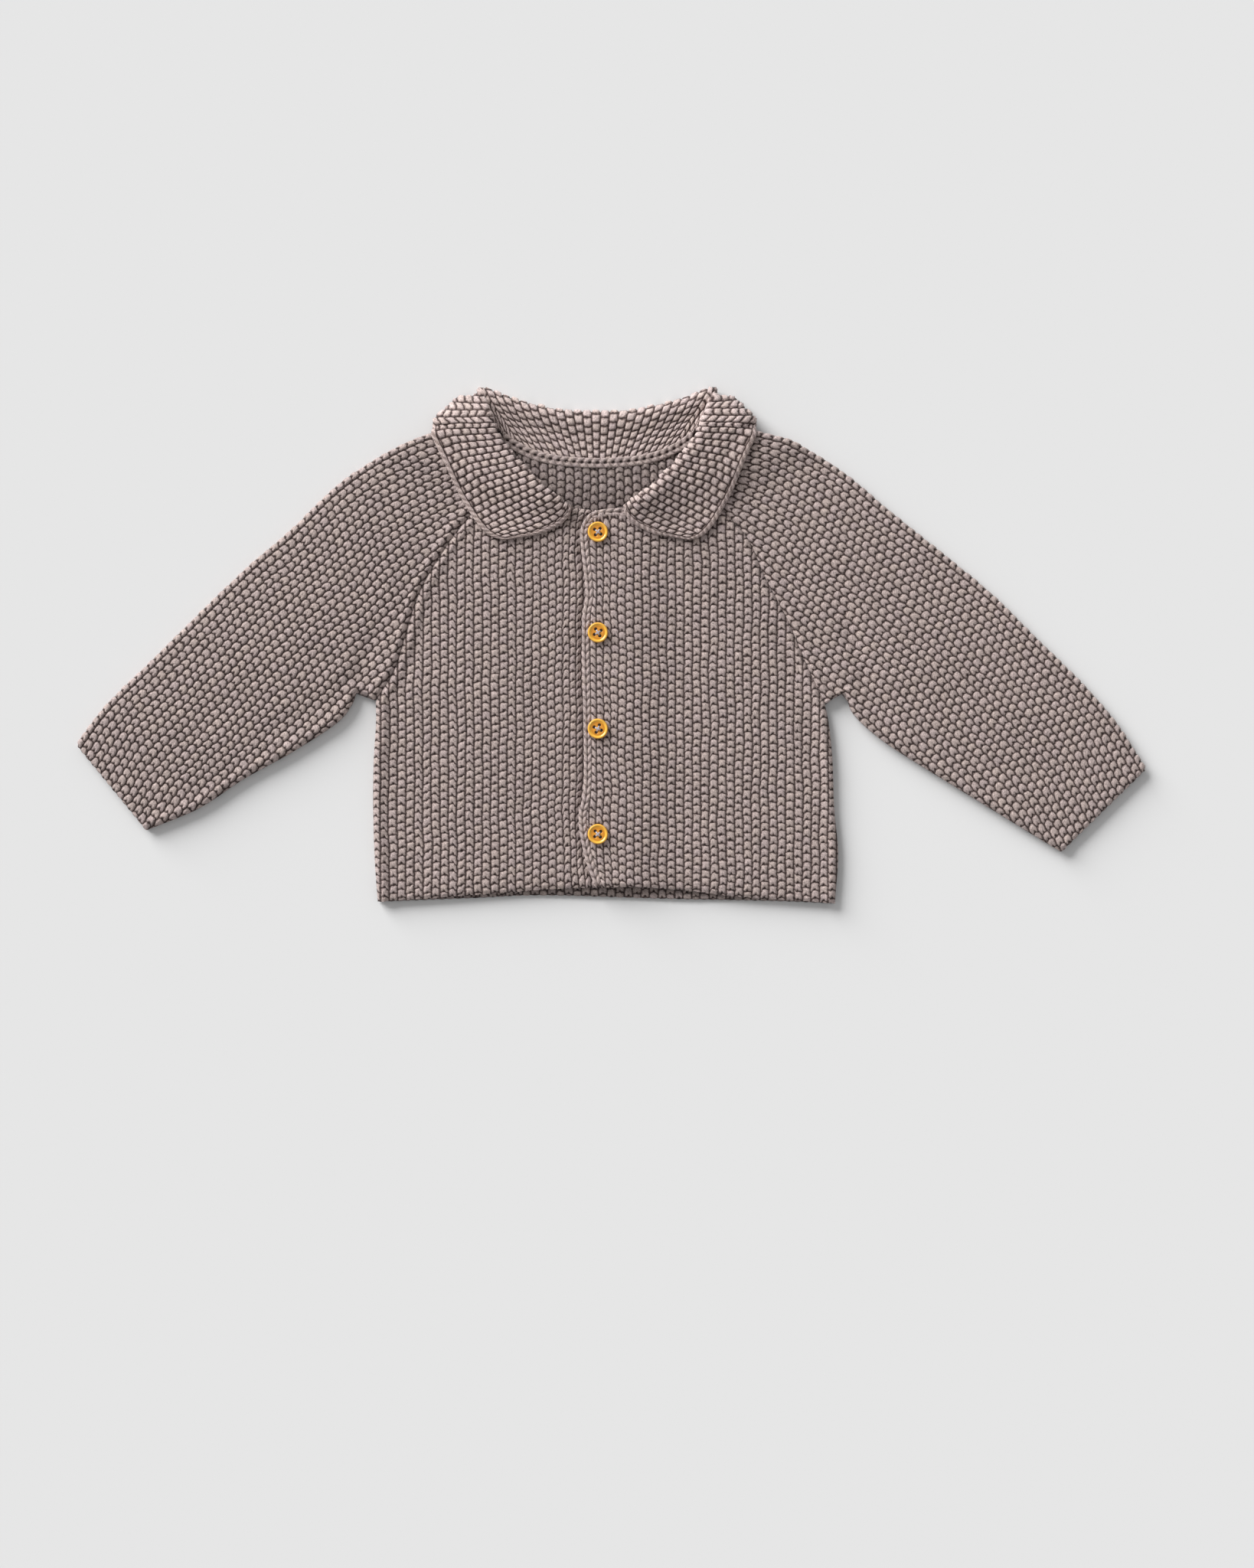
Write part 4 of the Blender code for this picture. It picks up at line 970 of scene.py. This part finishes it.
def button(name, y, turn, finish):
    """A turned disc; its four holes are pressed into a fine round grid."""
    profile = np.array([
        # radius, height: from the middle of the top, over the rim, to the middle of the back
        (0.0, BUTTON_HEIGHT - BUTTON_DISH - 0.1),
        (BUTTON_RADIUS - BUTTON_RIM - 0.55, BUTTON_HEIGHT - BUTTON_DISH),
        (BUTTON_RADIUS - BUTTON_RIM, BUTTON_HEIGHT - 0.15), (BUTTON_RADIUS - 0.6, BUTTON_HEIGHT),
        (BUTTON_RADIUS - 0.25, 1.95), (BUTTON_RADIUS, 1.2), (BUTTON_RADIUS - 0.4, 0.5),
        (BUTTON_RADIUS - 1.4, 0.0), (0.0, 0.35),
    ])
    steps = np.concatenate([np.linspace(0, 1, 34), np.linspace(1, 7, 25)[1:], [7.5, 8.0]])
    rings = np.column_stack([np.interp(steps, np.arange(9), profile[:, k]) for k in (0, 1)])
    around = np.linspace(0, 2 * math.pi, 81)
    radius, angle = np.meshgrid(rings[:, 0], around, indexing="ij")
    height = np.broadcast_to(rings[:, 1][:, None], radius.shape).copy()
    px, py = radius * np.cos(angle), radius * np.sin(angle)
    pit = np.zeros_like(radius)
    for k in range(4):
        way = math.radians(45 + 90 * k + turn)
        away = np.hypot(px - HOLE_REACH * math.cos(way), py - HOLE_REACH * math.sin(way))
        pit = np.maximum(pit, 1 - smooth_step((away - HOLE_RADIUS + 0.12) / 0.24))
    pit *= (steps < 1.5)[:, None]
    height -= HOLE_DEPTH * pit
    shape = bmesh.new()
    layer = shape.verts.layers.float_vector.new("disc")
    points = np.dstack([BUTTON_X + px, y + py, BUTTON_BASE + height])
    grid_of(shape, points, np.dstack([radius / BUTTON_RADIUS, pit, 0 * pit]), layer)
    bmesh.ops.remove_doubles(shape, verts=shape.verts, dist=1e-6)
    bmesh.ops.recalc_face_normals(shape, faces=shape.faces)
    return in_scene(name, shape, finish)


def thread(name, y, turn, finish):
    """Two strands of sewing thread, each doubled, that cross over the middle of a button."""
    shape = bmesh.new()
    along = np.linspace(-1, 1, 15)
    around = np.linspace(0, 2 * math.pi, 9)
    floor = BUTTON_BASE + BUTTON_HEIGHT - BUTTON_DISH
    reach = along * (HOLE_REACH - THREAD_INSET)
    for way, beside, over in ((45, -THREAD_APART, 0.0), (45, THREAD_APART, 0.0),
                              (135, -THREAD_APART, THREAD_OVER), (135, THREAD_APART, THREAD_OVER)):
        way = math.radians(way + turn)
        z = floor + (THREAD_RISE + over) * (1 - np.abs(along) ** 4) - THREAD_DIP * np.abs(along) ** 8
        middle = np.column_stack([BUTTON_X + reach * math.cos(way) - beside * math.sin(way),
                                  y + reach * math.sin(way) + beside * math.cos(way), z])
        aside = np.cos(around)
        ring = np.column_stack([-math.sin(way) * aside, math.cos(way) * aside, np.sin(around)])
        points = middle[:, None, :] + THREAD_RADIUS * ring[None, :, :]
        grid_of(shape, points)
    bmesh.ops.remove_doubles(shape, verts=shape.verts, dist=1e-6)
    bmesh.ops.holes_fill(shape, edges=[e for e in shape.edges if e.is_boundary], sides=8)
    bmesh.ops.recalc_face_normals(shape, faces=shape.faces)
    return in_scene(name, shape, finish)


def sewing_thread():
    """Pale grey twisted thread."""
    made, tree, shader = principled("sewing_thread")
    place = tree.nodes.new("ShaderNodeTexCoord")
    twist = tree.nodes.new("ShaderNodeTexNoise")
    twist.inputs["Scale"].default_value = 2200.0
    tree.links.new(place.outputs["Object"], twist.inputs["Vector"])
    tone = tree.nodes.new("ShaderNodeValToRGB")
    tone.color_ramp.elements[0].color = (0.30, 0.28, 0.31, 1)
    tone.color_ramp.elements[1].color = (0.72, 0.69, 0.74, 1)
    tree.links.new(twist.outputs["Fac"], tone.inputs["Fac"])
    tree.links.new(tone.outputs["Color"], shader.inputs["Base Color"])
    shader.inputs["Roughness"].default_value = 0.6
    return made


resin, sewing = amber_resin(), sewing_thread()
for k, (y, turn) in enumerate(zip(BUTTON_Y, BUTTON_TURNS), 1):
    disc = button(f"amber_button_{k}", y, turn, resin)
    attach(disc, "root")
    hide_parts(f"button_{k}")
    cross = thread(f"button_thread_{k}", y, turn, sewing)
    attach(cross, "root")
